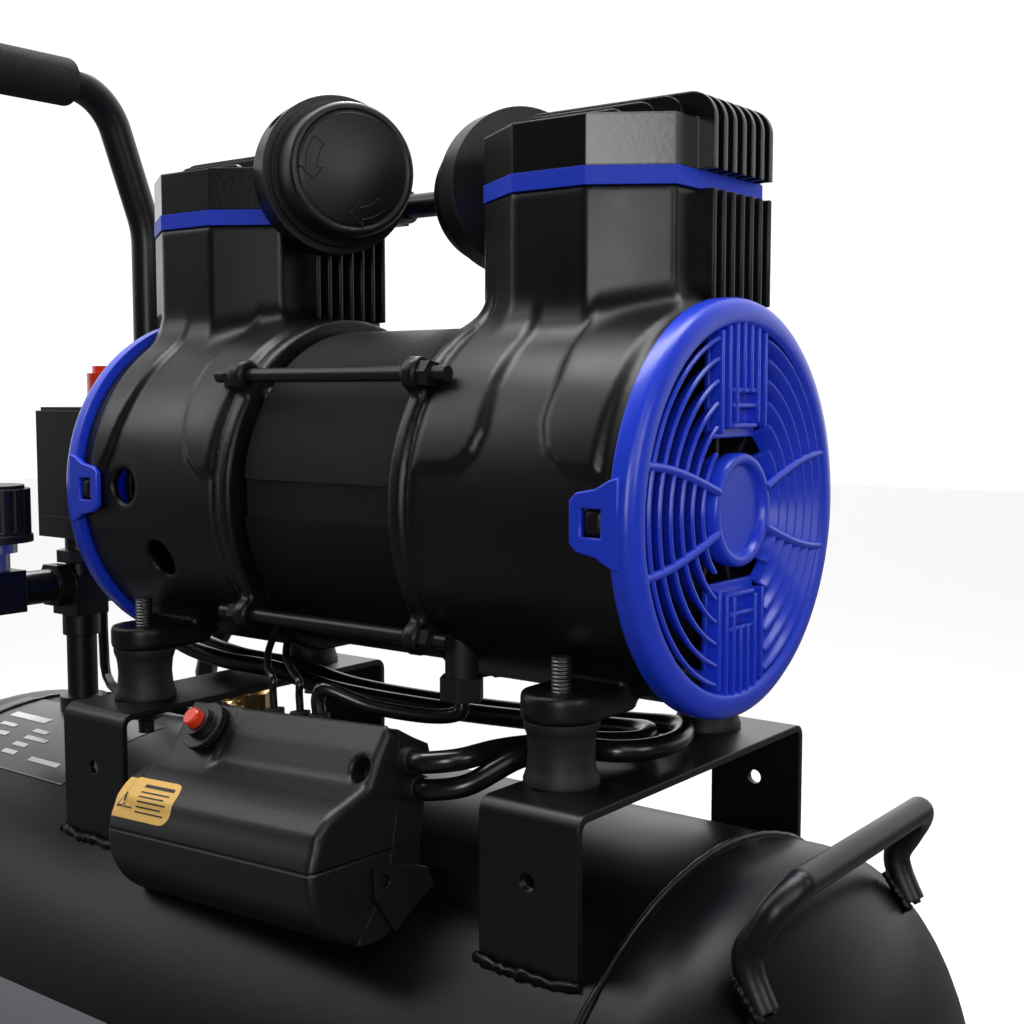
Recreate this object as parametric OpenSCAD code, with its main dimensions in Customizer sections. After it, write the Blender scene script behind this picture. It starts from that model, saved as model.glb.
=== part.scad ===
// Horizontal oil-free air compressor: a two-head pump on rubber mounts over a receiver tank.
// Origin: centre of the outline on the ground. +X runs along the tank towards the wheels,
// +Y to the back, +Z up. All sizes in millimetres.

/* [Tank] */
// Outer radius of the receiver tank
tank_r = 162; // [155:1:165]
// Height of the tank axis above the ground
tank_z = 250; // [246:1:256]
// Half of the distance between the two girth welds
weld_x = 229; // [225:1:235]
// Half of the cylindrical length, where the dished ends begin
flange_x = 247; // [244:1:250]
// Depth of each dished end
dish = 73; // [68:1:78]
// Thickness of the tank wall
tank_wall = 2.5; // [2:0.5:4]

/* [Saddle brackets] */
// Height of the plate that the pump stands on
saddle_z = 445; // [443:1:448]
// Width of each bracket along the tank
saddle_w = 45; // [40:1:50]
// Thickness of the bracket plate
saddle_t = 3; // [2:0.5:4]

/* [Pump] */
// Height of the motor shaft above the ground
pump_z = 548; // [546:1:550]
// Sideways place of the motor shaft
pump_y = 12; // [10:1:14]
// Place of the pump's middle along the tank
pump_x = 62.5; // [60:0.5:65]
// Radius of the crankcase barrel
case_r = 81; // [80:0.5:82]
// Radius of the fan covers
cover_r = 85; // [85:0.5:86]
// Distance from the pump's middle to a fan cover's face
cover_x = 168; // [167:0.5:170]
// Distance from the pump's middle to the rubber mounts
mount_x = 126.5; // [125:0.5:128]

/* [Handles] */
// Height of the push handle's crossbar axis
grip_z = 788; // [775:1:800]
// Outer radius of the push handle's tube
tube_r = 10; // [9:0.5:10]
// Radius of the carrying handle's rod
rod_r = 5.5; // [5:0.5:6]

/* [Wheels] */
// Radius of the wheels
wheel_r = 75; // [72:1:76]
// Width of the tyres
tyre_w = 32; // [28:1:34]

/* [Hidden] */

$fn = 64;
eps = 0.01;

BLACK = [0.05, 0.05, 0.055];
SATIN = [0.10, 0.10, 0.11];
BLUE = [0.10, 0.20, 0.75];
STEEL = [0.62, 0.63, 0.65];
BRASS = [0.78, 0.62, 0.32];
RUBBER = [0.03, 0.03, 0.03];
RED = [0.90, 0.25, 0.10];
COPPER = [0.72, 0.40, 0.22];
WHITE = [0.9, 0.9, 0.9];

// Saddle brackets: front and back faces, and the near edge of each along the tank
saddle_front = -92;
saddle_back = 88;
saddle_left = -82;
saddle_right = 176;
mount_y = 57;
mount_h = 25;
mount_r = 15;
foot_z = saddle_z + mount_h - pump_z;
foot_t = 11;

// Pump: places measured from the shaft's middle
case_in = 48;
case_out = 158;
tower = [94.5, -131];
tower_w = 48.5;
tower_front = -34.5;
tower_side = -15;
tower_back = 57;
bore = [94.5, -125];
bore_y = 8;
sleeve_r = 31;
bore_r = 29;
band_z = 129.8;
head_z = 137.4;
head_top = 158;
fin_top = 169;
fin_n = 7;
fin_pitch = 8;
fin_t = 2.5;
fin_y0 = 2;
fin_depth = 8;
rod_ring = 87.2;
rod_angle = 39;
shaft_r = 8;
stator_r = 76.5;
rotor_r = 38;
crank_r = 14;
crank_throw = 8;
stroke_z = 96;

// Air filters: outlet point on each tower's side, and direction of the axis
filter_turn = 25;
filter_y = [24, 13];
filter_z = [141, 154];

// Capacitor box: its own frame at the middle of its length
box_at = [57.5, 12, 548];
box_yaw = -4.8;
box_pitch = -4.4;
box_half = 70;
barrel_y = -108.5;
barrel_z = -144.2;
barrel_r = 28.8;

// Push handle: plane along the tank, half width and bend radius
push_x = -266;
push_y = 108.5;
push_lean = 20.5;
push_knee_z = 702;
push_bend = 38;
knee_bend = 60;
push_foot_z = 350;

// Wheels and feet
axle_x = 150;
axle_r = 6;
wheel_y = 150;
run_gap = 0.06;
foot_x = -185;
foot_y = 95;
foot_h = 34;

// Pipework at the left end
nipple_at = [-190, -4];
valve_at = [-118, 60];
switch_at = [-168, 4, 514];
manifold_z = 486;

module pump() { translate([pump_x, pump_y, pump_z]) children(); }

// A cylinder along X, Y or Z between two places
module xcyl(x0, x1, r) { translate([x0, 0, 0]) rotate([0, 90, 0]) cylinder(r = r, h = x1 - x0); }
module ycyl(y0, y1, r) { translate([0, y0, 0]) rotate([-90, 0, 0]) cylinder(r = r, h = y1 - y0); }
module zcyl(z0, z1, r) { translate([0, 0, z0]) cylinder(r = r, h = z1 - z0); }
module block(a, b) { translate(a) cube(b - a); }
module xtube(x0, x1, r, hole) {
    difference() {
        xcyl(x0, x1, r);
        xcyl(x0 - 1, x1 + 1, hole);
    }
}
module hex(h, flat) { cylinder(r = flat / sqrt(3), h = h, $fn = 6); }

// A quarter ring: the centre line starts at the origin along +Z and turns towards +Y
module bend(r, tube, angle = 90) {
    translate([0, r, 0]) rotate([0, 90, 0]) rotate([0, 0, -90])
        mirror([0, 1, 0]) rotate_extrude(angle = angle) translate([r, 0]) circle(r = tube);
}

// ---------------------------------------------------------------- tank and frame
function dish_pts(r, d, n) = [for (i = [0:n]) [r * cos(90 * i / n), d * sin(90 * i / n)]];

module dished_end() {
    n = 20;
    outer = dish_pts(tank_r, dish, n);
    inner = dish_pts(tank_r - tank_wall, dish - tank_wall, n);
    translate([flange_x, 0, tank_z]) rotate([0, 90, 0]) rotate_extrude($fn = 96)
        polygon(concat([[tank_r, weld_x - flange_x]], outer,
            [for (i = [n:-1:0]) inner[i]], [[tank_r - tank_wall, weld_x - flange_x]]));
}

module tank_shell() {
    color(BLACK) translate([0, 0, tank_z]) difference() {
        xcyl(-weld_x, weld_x, tank_r, $fn = 96);
        xcyl(-weld_x - 1, weld_x + 1, tank_r - tank_wall, $fn = 96);
    }
}

module tank_ends() {
    color(BLACK) {
        dished_end();
        mirror([1, 0, 0]) dished_end();
    }
}

module saddle(x0) {
    corner = 6;
    low = tank_z + 90;
    top = saddle_z;
    difference() {
        union() {
            block([x0, saddle_front + corner, low], [x0 + saddle_w, saddle_back - corner, top]);
            block([x0, saddle_front, low], [x0 + saddle_w, saddle_back, top - corner]);
            for (y = [saddle_front + corner, saddle_back - corner])
                translate([0, y, top - corner]) xcyl(x0, x0 + saddle_w, corner);
        }
        block([x0 - 1, saddle_front + corner, low - 1],
            [x0 + saddle_w + 1, saddle_back - corner, top - saddle_t]);
        block([x0 - 1, saddle_front + saddle_t, low - 1],
            [x0 + saddle_w + 1, saddle_back - saddle_t, top - corner]);
        for (y = [saddle_front + corner, saddle_back - corner])
            translate([0, y, top - corner]) xcyl(x0 - 1, x0 + saddle_w + 1, corner - saddle_t);
        translate([0, 0, tank_z]) xcyl(x0 - 2, x0 + saddle_w + 2, tank_r, $fn = 96);
        children();
    }
}

module mount_slot(x, y) {
    for (s = [-1, 1]) translate([x, y + 12 * s, saddle_z - 10]) cylinder(r = 4.5, h = 20);
    block([x - 4.5, y - 12, saddle_z - 10], [x + 4.5, y + 12, saddle_z + 10]);
}

module saddle_bracket(x0, side) {
    color(BLACK) saddle(x0) {
        for (s = [-1, 1]) mount_slot(pump_x + side * mount_x, s * mount_y);
        translate([x0 + saddle_w / 2, 0, saddle_z - 28]) ycyl(saddle_front - 1, saddle_back + 1, 3.25);
    }
}
module saddle_bracket_left() { saddle_bracket(saddle_left, -1); }
module saddle_bracket_right() { saddle_bracket(saddle_right, 1); }

// Carrying handle: two feet along the dish, two legs leaning off it, and the bar
carry_half = [[282, -67, 382], [276.5, -67, 393.5], [275.4, -67, 401.5], [280, -67, 410],
    [285, -65, 418.5], [288.4, -56, 424.6], [289, -42, 425.3]];
module carry_handle() {
    n = len(carry_half);
    back = [for (i = [n - 1:-1:0]) [carry_half[i][0], -carry_half[i][1], carry_half[i][2]]];
    color(SATIN) tube(concat(carry_half, back), rod_r, 3, 16, [0.87, 0, -0.49]);
}

// One half of the push handle as a solid of the given radius
module push_half(r) {
    top = (grip_z - push_knee_z) / cos(push_lean) - push_bend * tan(45 - push_lean / 2);
    cross = push_y - (grip_z - push_knee_z) * tan(push_lean) - push_bend * tan(45 - push_lean / 2);
    low = knee_bend * tan(push_lean / 2);
    translate([push_x, push_y, push_foot_z]) cylinder(r = r, h = push_knee_z - low - push_foot_z);
    translate([push_x, push_y, push_knee_z - low]) mirror([0, 1, 0]) bend(knee_bend, r, push_lean);
    translate([push_x, push_y, push_knee_z]) rotate([push_lean, 0, 0]) {
        zcyl(low, top, r);
        translate([0, 0, top]) mirror([0, 1, 0]) bend(push_bend, r, 90 - push_lean);
    }
    translate([push_x, 0, grip_z]) ycyl(-eps, cross, r);
}

module push_handle() {
    color(BLACK) difference() {
        union() {
            push_half(tube_r);
            mirror([0, 1, 0]) push_half(tube_r);
        }
        mirror([1, 0, 0]) translate([flange_x, 0, tank_z]) rotate([0, 90, 0]) rotate_extrude($fn = 96)
            polygon(concat([[0, 0]], dish_pts(tank_r - 1, dish - 1, 20)));
    }
}

module handle_grip() {
    color(RUBBER) translate([push_x, 0, grip_z]) difference() {
        ycyl(-50, 50, 14.7);
        ycyl(-51, 51, tube_r + eps);
    }
}

// A saddle plate under the tank that carries the axle in two cheeks
module wheel_bracket() {
    cheek = 5;
    color(BLACK) difference() {
        for (s = [-1, 1]) {
            block([axle_x - 24, s * 80 - cheek / 2, wheel_r - 16], [axle_x + 24, s * 80 + cheek / 2, 130]);
        }
        translate([0, 0, tank_z]) xcyl(axle_x - 40, axle_x + 40, tank_r, $fn = 96);
        translate([axle_x, 0, wheel_r]) ycyl(-100, 100, axle_r + eps);
    }
}

module wheel_axle() {
    color(STEEL) translate([axle_x, 0, wheel_r]) {
        ycyl(-wheel_y - tyre_w / 2 - 9, wheel_y + tyre_w / 2 + 9, axle_r);
        for (s = [-1, 1]) {
            translate([0, s * (wheel_y - tyre_w / 2 - 7), 0]) ycyl(-2, 2, 11);
            translate([0, s * (wheel_y + tyre_w / 2 + 5), 0]) ycyl(-3, 3, 12);
        }
    }
}

module wheel(s) {
    translate([axle_x, s * wheel_y, wheel_r]) mirror([0, s < 0 ? 1 : 0, 0]) difference() {
        union() {
            ycyl(-tyre_w / 2, tyre_w / 2, wheel_r);
            ycyl(-tyre_w / 2 - 4, tyre_w / 2 + 1, 16);
        }
        for (k = [-1, 1]) difference() {
            translate([0, k * tyre_w / 2, 0]) ycyl(-7, 7, wheel_r - 22);
            ycyl(-tyre_w, tyre_w, 17);
        }
        ycyl(-40, 40, axle_r + run_gap);
    }
}
module wheel_front() { color(RUBBER) wheel(-1); }
module wheel_rear() { color(RUBBER) wheel(1); }

module foot_bracket() {
    t = 3;
    color(BLACK) difference() {
        union() {
            block([foot_x - 22, -foot_y - 25, foot_h], [foot_x + 22, foot_y + 25, foot_h + t]);
            for (s = [-1, 1]) block([foot_x - 22, s * 66 - t / 2, foot_h], [foot_x + 22, s * 66 + t / 2, 130]);
        }
        translate([0, 0, tank_z]) xcyl(foot_x - 40, foot_x + 40, tank_r, $fn = 96);
        for (s = [-1, 1]) translate([foot_x, s * foot_y, 0]) zcyl(0, 60, 4.5 + eps);
    }
}

module rubber_feet() {
    color(RUBBER) for (s = [-1, 1]) translate([foot_x, s * foot_y, 0])
        rotate_extrude() polygon([[0, 6], [7, 6], [7, 0], [20, 0], [22, 3], [19, foot_h], [0, foot_h]]);
}

// ---------------------------------------------------------------- pipework at the left end
module drain_valve_body() {
    color(BRASS) translate([-40, 0, 0]) difference() {
        union() {
            zcyl(76, 90, 11);
            translate([0, 0, 66]) hex(10, 17);
            zcyl(58, 66, 7);
        }
        zcyl(57, 80, 3);
        translate([0, 0, tank_z]) xcyl(-20, 20, tank_r, $fn = 96);
    }
}

module drain_knob() {
    color(BLACK) translate([-40, 0, 0]) {
        difference() {
            zcyl(46, 57.6, 11);
            zcyl(45, 58, 3.5);
            for (a = [0:45:315]) rotate([0, 0, a]) translate([12.5, 0, 45]) cylinder(r = 3, h = 14);
        }
    }
}

module pipe_nipple() {
    color(BLACK) translate([nipple_at[0], nipple_at[1], 0]) difference() {
        union() {
            zcyl(404, 468, 8.5);
            zcyl(404, 420, 13);
            zcyl(456, 468, 10.5);
        }
        zcyl(403, 469, 6);
        translate([-nipple_at[0], -nipple_at[1], tank_z]) xcyl(-220, -160, tank_r, $fn = 96);
    }
}

module check_valve() {
    color(BRASS) translate([valve_at[0], valve_at[1], 0]) difference() {
        union() {
            zcyl(380, 404, 9);
            translate([0, 0, 404]) hex(16, 22);
            zcyl(420, 428, 8);
            translate([0, 0, 412]) xcyl(-18, 0, 6.5);
            translate([0, 0, 412]) ycyl(-19, 0, 5);
        }
        translate([0, 0, 412]) xcyl(-19, -8, 4);
        translate([0, 0, 412]) ycyl(-20, -8, 2.5);
        zcyl(379, 412, 4);
        translate([-valve_at[0], -valve_at[1], tank_z]) xcyl(-200, 0, tank_r, $fn = 96);
    }
}

module air_manifold() {
    x = nipple_at[0];
    y = nipple_at[1];
    color(SATIN) difference() {
        union() {
            block([x - 11, y - 11, 468], [x + 11, y + 11, 491]);
            zc = manifold_z;
            translate([x, 0, zc]) ycyl(-118, y - 11, 9.5);
            block([x - 12, -71, zc - 11], [x + 12, -47, zc + 12]);
            block([x - 12, -118, zc - 11], [x + 12, -92, zc + 11]);
            translate([x, y, 0]) zcyl(491, switch_at[2], 8);
            translate([x, y, 498]) hex(7, 22);
            for (g = [-59, -105]) translate([0, g, zc]) xcyl(x - 22, x - 11, 5);
        }
        translate([x, y, 0]) zcyl(460, 520, 4);
        translate([x, 0, manifold_z]) ycyl(-119, y, 4);
    }
    color(STEEL) difference() {
        translate([x, y - 11, manifold_z]) rotate([90, 0, 0]) hex(9, 23);
        translate([x, 0, manifold_z]) ycyl(-60, y, 9.5 - eps);
    }
}

module switch_base() {
    color(BLACK) translate(switch_at) {
        block([-30, -29, 0], [30, 29, 12]);
        translate([0, 0, 12]) block([-26, -25, 0], [26, 25, 6]);
        block([-18, -4, 18], [-10, 4, 60]);
    }
}

module switch_cover() {
    color(BLACK) translate(switch_at) difference() {
        union() {
            block([-30, -29, 12], [30, 29, 71]);
            block([-28, -27, 71], [28, 27, 73]);
            zcyl(73, 76, 15);
        }
        block([-27, -26, 11], [27, 26, 69]);
        zcyl(60, 80, 7 + run_gap);
    }
}

// The lift-to-stop knob on the switch and the rod that it pulls
module switch_knob() {
    color(RED) translate(switch_at) {
        zcyl(77, 92, 13);
        zcyl(92, 96, 10);
        zcyl(64, 78, 7);
    }
}

module regulator_body() {
    color(SATIN) translate([nipple_at[0], -59, 0]) {
        zcyl(manifold_z + 12, 508, 8.5);
        zcyl(508, 513.5, 12.5);
        zcyl(513.5, 536, 8);
    }
}

module regulator_knob() {
    color(BLACK) translate([nipple_at[0], -59, 0]) difference() {
        union() {
            zcyl(514, 543, 20);
            zcyl(514, 518, 21);
            zcyl(543, 545, 17);
        }
        zcyl(513, 538, 8 + run_gap);
        for (a = [0:20:340]) rotate([0, 0, a]) translate([21.5, 0, 520]) cylinder(r = 2.2, h = 30);
    }
}

module gauge_cases() {
    color(BLACK) for (y = [-59, -105]) translate([nipple_at[0] - 22, y, manifold_z]) {
        difference() {
            xcyl(-20, 0, 20);
            xcyl(-21, -3, 18);
        }
        xcyl(-12, -2, 1.5);
    }
    color(WHITE) for (y = [-59, -105]) translate([nipple_at[0] - 22, y, manifold_z])
        xtube(-5, -3, 17.9, 2);
}

module needle(y) {
    color(RED) translate([nipple_at[0] - 22, y, manifold_z]) difference() {
        union() {
            xcyl(-13, -6, 3.4);
            block([-12.4, -1, -16], [-11.2, 1, 5]);
        }
        xcyl(-14, -5, 1.5 + run_gap);
    }
}
module gauge_needle_tank() { needle(-59); }
module gauge_needle_outlet() { needle(-105); }

module coupler_body() {
    color(STEEL) translate([nipple_at[0], 0, manifold_z]) difference() {
        union() {
            rotate([90, 0, 0]) translate([0, 0, 118]) hex(10, 22);
            ycyl(-160, -128, 8.5);
            ycyl(-131, -128, 12);
        }
        ycyl(-161, -122, 5.6);
    }
}

module coupler_sleeve() {
    color(BRASS) translate([nipple_at[0], 0, manifold_z]) difference() {
        union() {
            ycyl(-158, -134.5, 12);
            ycyl(-156, -151, 13);
            ycyl(-141, -136, 13);
        }
        ycyl(-159, -134, 8.5 + run_gap);
    }
}

module relief_valve_body() {
    color(BRASS) translate([nipple_at[0], 0, 480]) {
        rotate([-90, 0, 0]) translate([0, 0, nipple_at[1] + 11]) hex(9, 14);
        ycyl(nipple_at[1] + 20, 32, 6.5);
        ycyl(32, 40, 2);
    }
}

module relief_ring() {
    color(STEEL) translate([nipple_at[0], 0, 480]) {
        difference() {
            ycyl(33, 42, 4.5);
            ycyl(32, 40.3, 2 + run_gap);
        }
        translate([0, 50.8, 0]) rotate([90, 0, 90]) rotate_extrude($fn = 40) translate([9, 0]) circle(r = 1.2);
    }
}

// A round tube of radius r swept along smooth points, one ring at each
function unit(v) = v / norm(v);
function cat(p, t) = let (n = len(p), i = min(floor(t), n - 2), u = t - i,
    a = p[max(i - 1, 0)], b = p[i], c = p[i + 1], d = p[min(i + 2, n - 1)])
    0.5 * (2 * b + (c - a) * u + (2 * a - 5 * b + 4 * c - d) * u * u + (3 * b - a - 3 * c + d) * u * u * u);
function frame(q, i, n, side) = let (t = unit(q[min(i + 1, n)] - q[max(i - 1, 0)]),
    up = is_undef(side) ? (abs(t[0]) < 0.55 ? [1, 0, 0] : [0, 0, 1]) : side,
    s = unit(cross(t, up))) [s, cross(s, t)];
module tube(p, r, steps, sides = 10, across = undef) {
    n = (len(p) - 1) * steps;
    q = [for (i = [0:n]) cat(p, i / steps)];
    pts = [for (i = [0:n]) let (f = frame(q, i, n, across)) for (k = [0:sides - 1])
        q[i] + r * (f[0] * cos(360 * k / sides) + f[1] * sin(360 * k / sides))];
    side = [for (i = [0:n - 1]) for (k = [0:sides - 1]) let (a = i * sides + k,
        b = i * sides + (k + 1) % sides) [a, b, b + sides, a + sides]];
    polyhedron(concat(pts, []), concat(side, [[for (k = [sides - 1:-1:0]) k]],
        [[for (k = [0:sides - 1]) n * sides + k]]));
}

// Delivery pipe from the left head, link pipe between the heads, and the small bleed pipe
delivery = [[-43, 90, 696], [-66, 91, 695.5], [-92, 96, 688], [-116, 98, 668], [-132, 97, 632],
    [-138, 94, 580], [-142, 90, 520], [-150, 80, 470], [-161, 66, 436], [-157, 61, 419],
    [-146, 60, 412.2], [-136.3, 60, 412]];
bleed = [[-118, 40.7, 412], [-118, 35, 412], [-129, 21, 414], [-160, 17, 416], [-192, 22, 417],
    [-207, 25, 424], [-209, 25, 440], [-208, 24, 470], [-202, 22, 496], [-194, 17, 503],
    [-192, 16, 508], [-192, 16, 513.7]];
module delivery_tubes() {
    color(SATIN) {
        tube(delivery, 6.5, 2);
        tube(bleed, 3, 2, 8);
    }
    color(STEEL) {
        translate([0, 90, 696]) xcyl(-35, 130, 6.5);
        for (x = [-35, 130]) block([x - 9, 69, 687], [x + 9, 99, 705]);
    }
    color(BLUE) translate([0, 90, 696]) for (x = [-26, 113]) xtube(x, x + 8, 9, 6.5);
}

// ---------------------------------------------------------------- pump
module plan(w = 0) {
    polygon([[-18.4, tower_front - w], [18.4, tower_front - w], [tower_w + w, tower_side],
        [tower_w + w, tower_back + w], [-tower_w - w, tower_back + w], [-tower_w - w, tower_side]]);
}

module rubber_mounts() {
    color(RUBBER) for (s = [-1, 1], y = [-mount_y, mount_y])
        translate([pump_x + s * mount_x, y, saddle_z]) rotate_extrude() polygon([[0, 0], [mount_r, 0],
            [mount_r, 2], [13.6, 6], [13, mount_h / 2], [13.6, mount_h - 6], [mount_r, mount_h - 2],
            [mount_r, mount_h], [0, mount_h]]);
}

// Studs moulded into each rubber mount, with washers and nuts below
module mount_hardware() {
    color(STEEL) for (s = [-1, 1], y = [-mount_y, mount_y])
        translate([pump_x + s * mount_x, y, 0]) {
            zcyl(saddle_z - 18, saddle_z, 4);
            zcyl(saddle_z - saddle_t - 1.6, saddle_z - saddle_t, 9);
            translate([0, 0, saddle_z - saddle_t - 8]) hex(6.5, 13);
            zcyl(saddle_z + mount_h, saddle_z + mount_h + (y < 0 ? 24 : 6), 4);
        }
}

// A cooling fin: a plate with two rounded top corners, standing across the tower
module fin(x0, x1, y, z0, z1, r) {
    block([x0, y, z0], [x1, y + fin_t, z1 - r]);
    block([x0 + r, y, z0], [x1 - r, y + fin_t, z1]);
    for (x = [x0 + r, x1 - r]) translate([x, 0, z1 - r]) ycyl(y, y + fin_t, r);
}

function axis_side(s) = s > 0 ? 0 : 1;
module filter_frame(s) {
    translate([tower[axis_side(s)] - s * tower_w, filter_y[axis_side(s)], filter_z[axis_side(s)]])
        rotate([0, 0, s > 0 ? 180 - filter_turn : -filter_turn]) children();
}
module filter_space(s) {
    filter_frame(s) {
        xcyl(8.5, 70, 40);
        xcyl(-3, 9, 14.5);
    }
}

module foot(x, y, s) {
    r = 16;
    difference() {
        union() {
            translate([x, y, 0]) zcyl(foot_z, foot_z + foot_t, r);
            block([x - r, min(y, y < 0 ? -40 : 26), foot_z], [x + r, max(y, y < 0 ? -40 : 26), foot_z + foot_t]);
            block([x - r - 5, y < 0 ? -52 : 20, foot_z], [x + r + 5, y < 0 ? -30 : 34, foot_z + foot_t]);
        }
        translate([x, y, foot_z - 1]) cylinder(r = 4 + eps, h = foot_t + 2);
    }
}

module crankcase(s) {
    k = axis_side(s);
    cx = tower[k];
    bx = bore[k];
    far = s > 0 ? [case_in, case_out] : [-case_out, -case_in];
    hollow = s > 0 ? [case_in + 6, case_out + 1] : [-case_out - 1, -case_in - 6];
    pump() difference() {
        union() {
            difference() {
                union() {
                    xcyl(far[0], far[1], case_r, $fn = 96);
                    intersection() {
                        translate([cx, 0, 40]) linear_extrude(50) plan();
                        block([far[0], -60, 40], [far[1], 60, 90]);
                    }
                    translate([cx, 0, cover_r + 1]) linear_extrude(band_z - cover_r - 1) plan();
                    difference() {
                        for (i = [0:fin_n - 1]) let (y = fin_y0 + i * fin_pitch)
                            block([cx + tower_w - 1, y, 84], [cx + tower_w + fin_depth, y + fin_t, band_z]);
                        filter_space(-1);
                    }
                    for (y = [-mount_y - pump_y, mount_y - pump_y]) foot(s * mount_x, y, s);
                    for (q = [-1, 1]) block([s * 150 - 4, min(q * 84, q * 80), -5],
                        [s * 150 + 4, max(q * 84, q * 80), 5]);
                }
                xcyl(hollow[0], hollow[1], case_r - 5, $fn = 96);
            }
            xcyl(s > 0 ? case_in : -case_in - 12, s > 0 ? case_in + 12 : -case_in, 27);
            for (a = [rod_angle, -rod_angle, 180 + rod_angle, 180 - rod_angle])
                rotate([a, 0, 0]) {
                    x0 = s > 0 ? case_in : -case_in - 8;
                    block([x0, -rod_ring, -7], [x0 + 8, -case_r + 4, 7]);
                    translate([0, -rod_ring, 0]) xcyl(x0, x0 + 8, 7);
                    translate([0, -71, 0]) xcyl(s > 0 ? 44 : -case_in - 2, s > 0 ? case_in + 2 : -44, 4);
                }
        }
        xcyl(s * (case_in + 5) - 10, s * (case_in + 5) + 10, 20);
        translate([bx, bore_y, 40]) cylinder(r = sleeve_r, h = 100);
        for (a = [rod_angle, -rod_angle, 180 + rod_angle, 180 - rod_angle])
            rotate([a, 0, 0]) translate([0, -rod_ring, 0]) xcyl(s * 52 - 9, s * 52 + 9, 3.25 + eps);
        if (s < 0) {
            translate([-125.5, 0, 2]) ycyl(-90, -60, 8.5);
            translate([-106.5, 0, -32]) ycyl(-90, -50, 8.5);
        }
        for (z = [-30:15:30]) block([s * 70 - 9, 70, z - 3], [s * 70 + 9, 90, z + 3]);
    }
}
module crankcase_left() { color(BLACK) crankcase(-1); }
module crankcase_right() { color(BLACK) crankcase(1); }

module cylinder_sleeves() {
    color(STEEL) pump() for (x = bore) translate([x, bore_y, 0]) difference() {
        zcyl(74, band_z, sleeve_r);
        zcyl(73, band_z + 1, bore_r);
    }
}

// Pistons at half stroke, each with its rod and an open big end around the crank's sweep
module pistons() {
    color(STEEL) pump() for (x = bore) translate([x, 0, 0]) {
        translate([0, bore_y, 0]) zcyl(stroke_z - 8, stroke_z + 6, bore_r - 0.2);
        translate([0, bore_y, 0]) zcyl(stroke_z - 2, stroke_z + 1, bore_r);
        xtube(-5, 5, crank_r + crank_throw + 7, crank_r + crank_throw + 1);
        block([-4, 1, crank_r + crank_throw + 5], [4, 15, stroke_z - 7]);
    }
}

module valve_plates() {
    color(BLUE) pump() for (k = [0, 1]) difference() {
        translate([tower[k], 0, band_z]) linear_extrude(head_z - band_z) plan(0.6);
        for (x = [-12, 12], y = [-6, 6]) translate([bore[k] + x, bore_y + y, band_z - 1])
            cylinder(r = 3, h = 10);
    }
}

module cylinder_head(s) {
    k = axis_side(s);
    cx = tower[k];
    pump() difference() {
        union() {
            translate([cx, 0, head_z]) linear_extrude(head_top - head_z) plan();
            difference() {
                union() {
                    for (i = [0:fin_n - 1])
                        fin(cx - 40, cx + tower_w + fin_depth, fin_y0 + i * fin_pitch, head_z, fin_top, 12);
                    fin(cx - 36, cx + 46, -6, head_z + 2, fin_top - 2, 10);
                    fin(cx - 30, cx + 38, -14, head_z + 2, fin_top - 5, 8);
                    fin(cx - 24, cx + 28, -22, head_z + 2, fin_top - 8, 6);
                }
                filter_space(-1);
            }
            if (s < 0) block([cx + tower_w - 14, 0, head_z], [cx + tower_w, 27, fin_top]);
        }
        for (x = [-18, 18]) block([bore[k] + x - 14, bore_y - 20, head_z - 1],
            [bore[k] + x + 14, bore_y + 20, head_z + 12]);
    }
}
module cylinder_head_left() { color(BLACK) cylinder_head(-1); }
module cylinder_head_right() { color(BLACK) cylinder_head(1); }

// Round filter housings on short inlet pipes, each with a slot in the wall
module filter_bases() {
    color(BLACK) pump() for (s = [-1, 1]) difference() {
        filter_frame(s) difference() {
            union() {
                xcyl(10, 25, 38.5);
                xcyl(25, 28, 35);
                xcyl(-6, 12, 12);
            }
            xcyl(12.5, 29, 30);
            xcyl(-7, 20, 8);
            translate([18, 0, 0]) rotate([-140 * s, 0, 0]) ycyl(20, 45, 5);
        }
        translate([tower[axis_side(s)], 0, 60]) linear_extrude(120) plan(0.6);
    }
}

module filter_elements() {
    color(WHITE) pump() for (s = [-1, 1]) filter_frame(s) xtube(12.5, 38, 26, 12);
}

module filter_cap(s) {
    color(BLACK) pump() filter_frame(s) difference() {
        union() {
            xcyl(28.4, 44, 32);
            xcyl(44, 46, 30);
            for (z = [-1, 1]) block([28.4, -7, z > 0 ? 30 : -34], [36, 7, z > 0 ? 34 : -30]);
        }
        xcyl(28, 42, 28);
    }
}
module filter_cap_left() { filter_cap(-1); }
module filter_cap_right() { filter_cap(1); }

// Fan cover: rim, ringed grille, hub, two pairs of spokes, side clips and end blocks
module fan_cover(s) {
    x0 = case_out;
    x1 = cover_x;
    color(BLUE) pump() mirror([s > 0 ? 0 : 1, 0, 0]) difference() {
        union() {
            xtube(x0, x1, cover_r, 74, $fn = 96);
            xcyl(x1 - 7, x1 - 1, 22);
            for (r = [31:8:70]) xtube(x1 - 6, x1 - 2.5, r + 1.5, r - 0.9);
            for (q = [-1, 1], d = [-1, 1]) rotate([0, 0, 0])
                block([x1 - 7, min(q * 20, q * 76), d * 10 - 3], [x1 - 1, max(q * 20, q * 76), d * 10 + 3]);
            for (q = [-1, 1], d = [-3:3]) block([x1 - 7, d * 6.4 - 1.2, min(q * 18, q * 76)],
                [x1 - 1, d * 6.4 + 1.2, max(q * 18, q * 76)]);
            for (q = [-1, 1]) block([x1 - 7, -24, min(q * 72, q * 80)], [x1, 24, max(q * 72, q * 80)]);
            for (q = [-1, 1]) block([141, min(q * 81.4, q * 85), -11], [x0 + 4, max(q * 81.4, q * 85), 11]);
        }
        xcyl(x1 - 3, x1 + 1, 18);
        for (q = [-1, 1]) block([145.4, q * 83.2 - 6, -5.5], [154.6, q * 83.2 + 6, 5.5]);
    }
}
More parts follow.
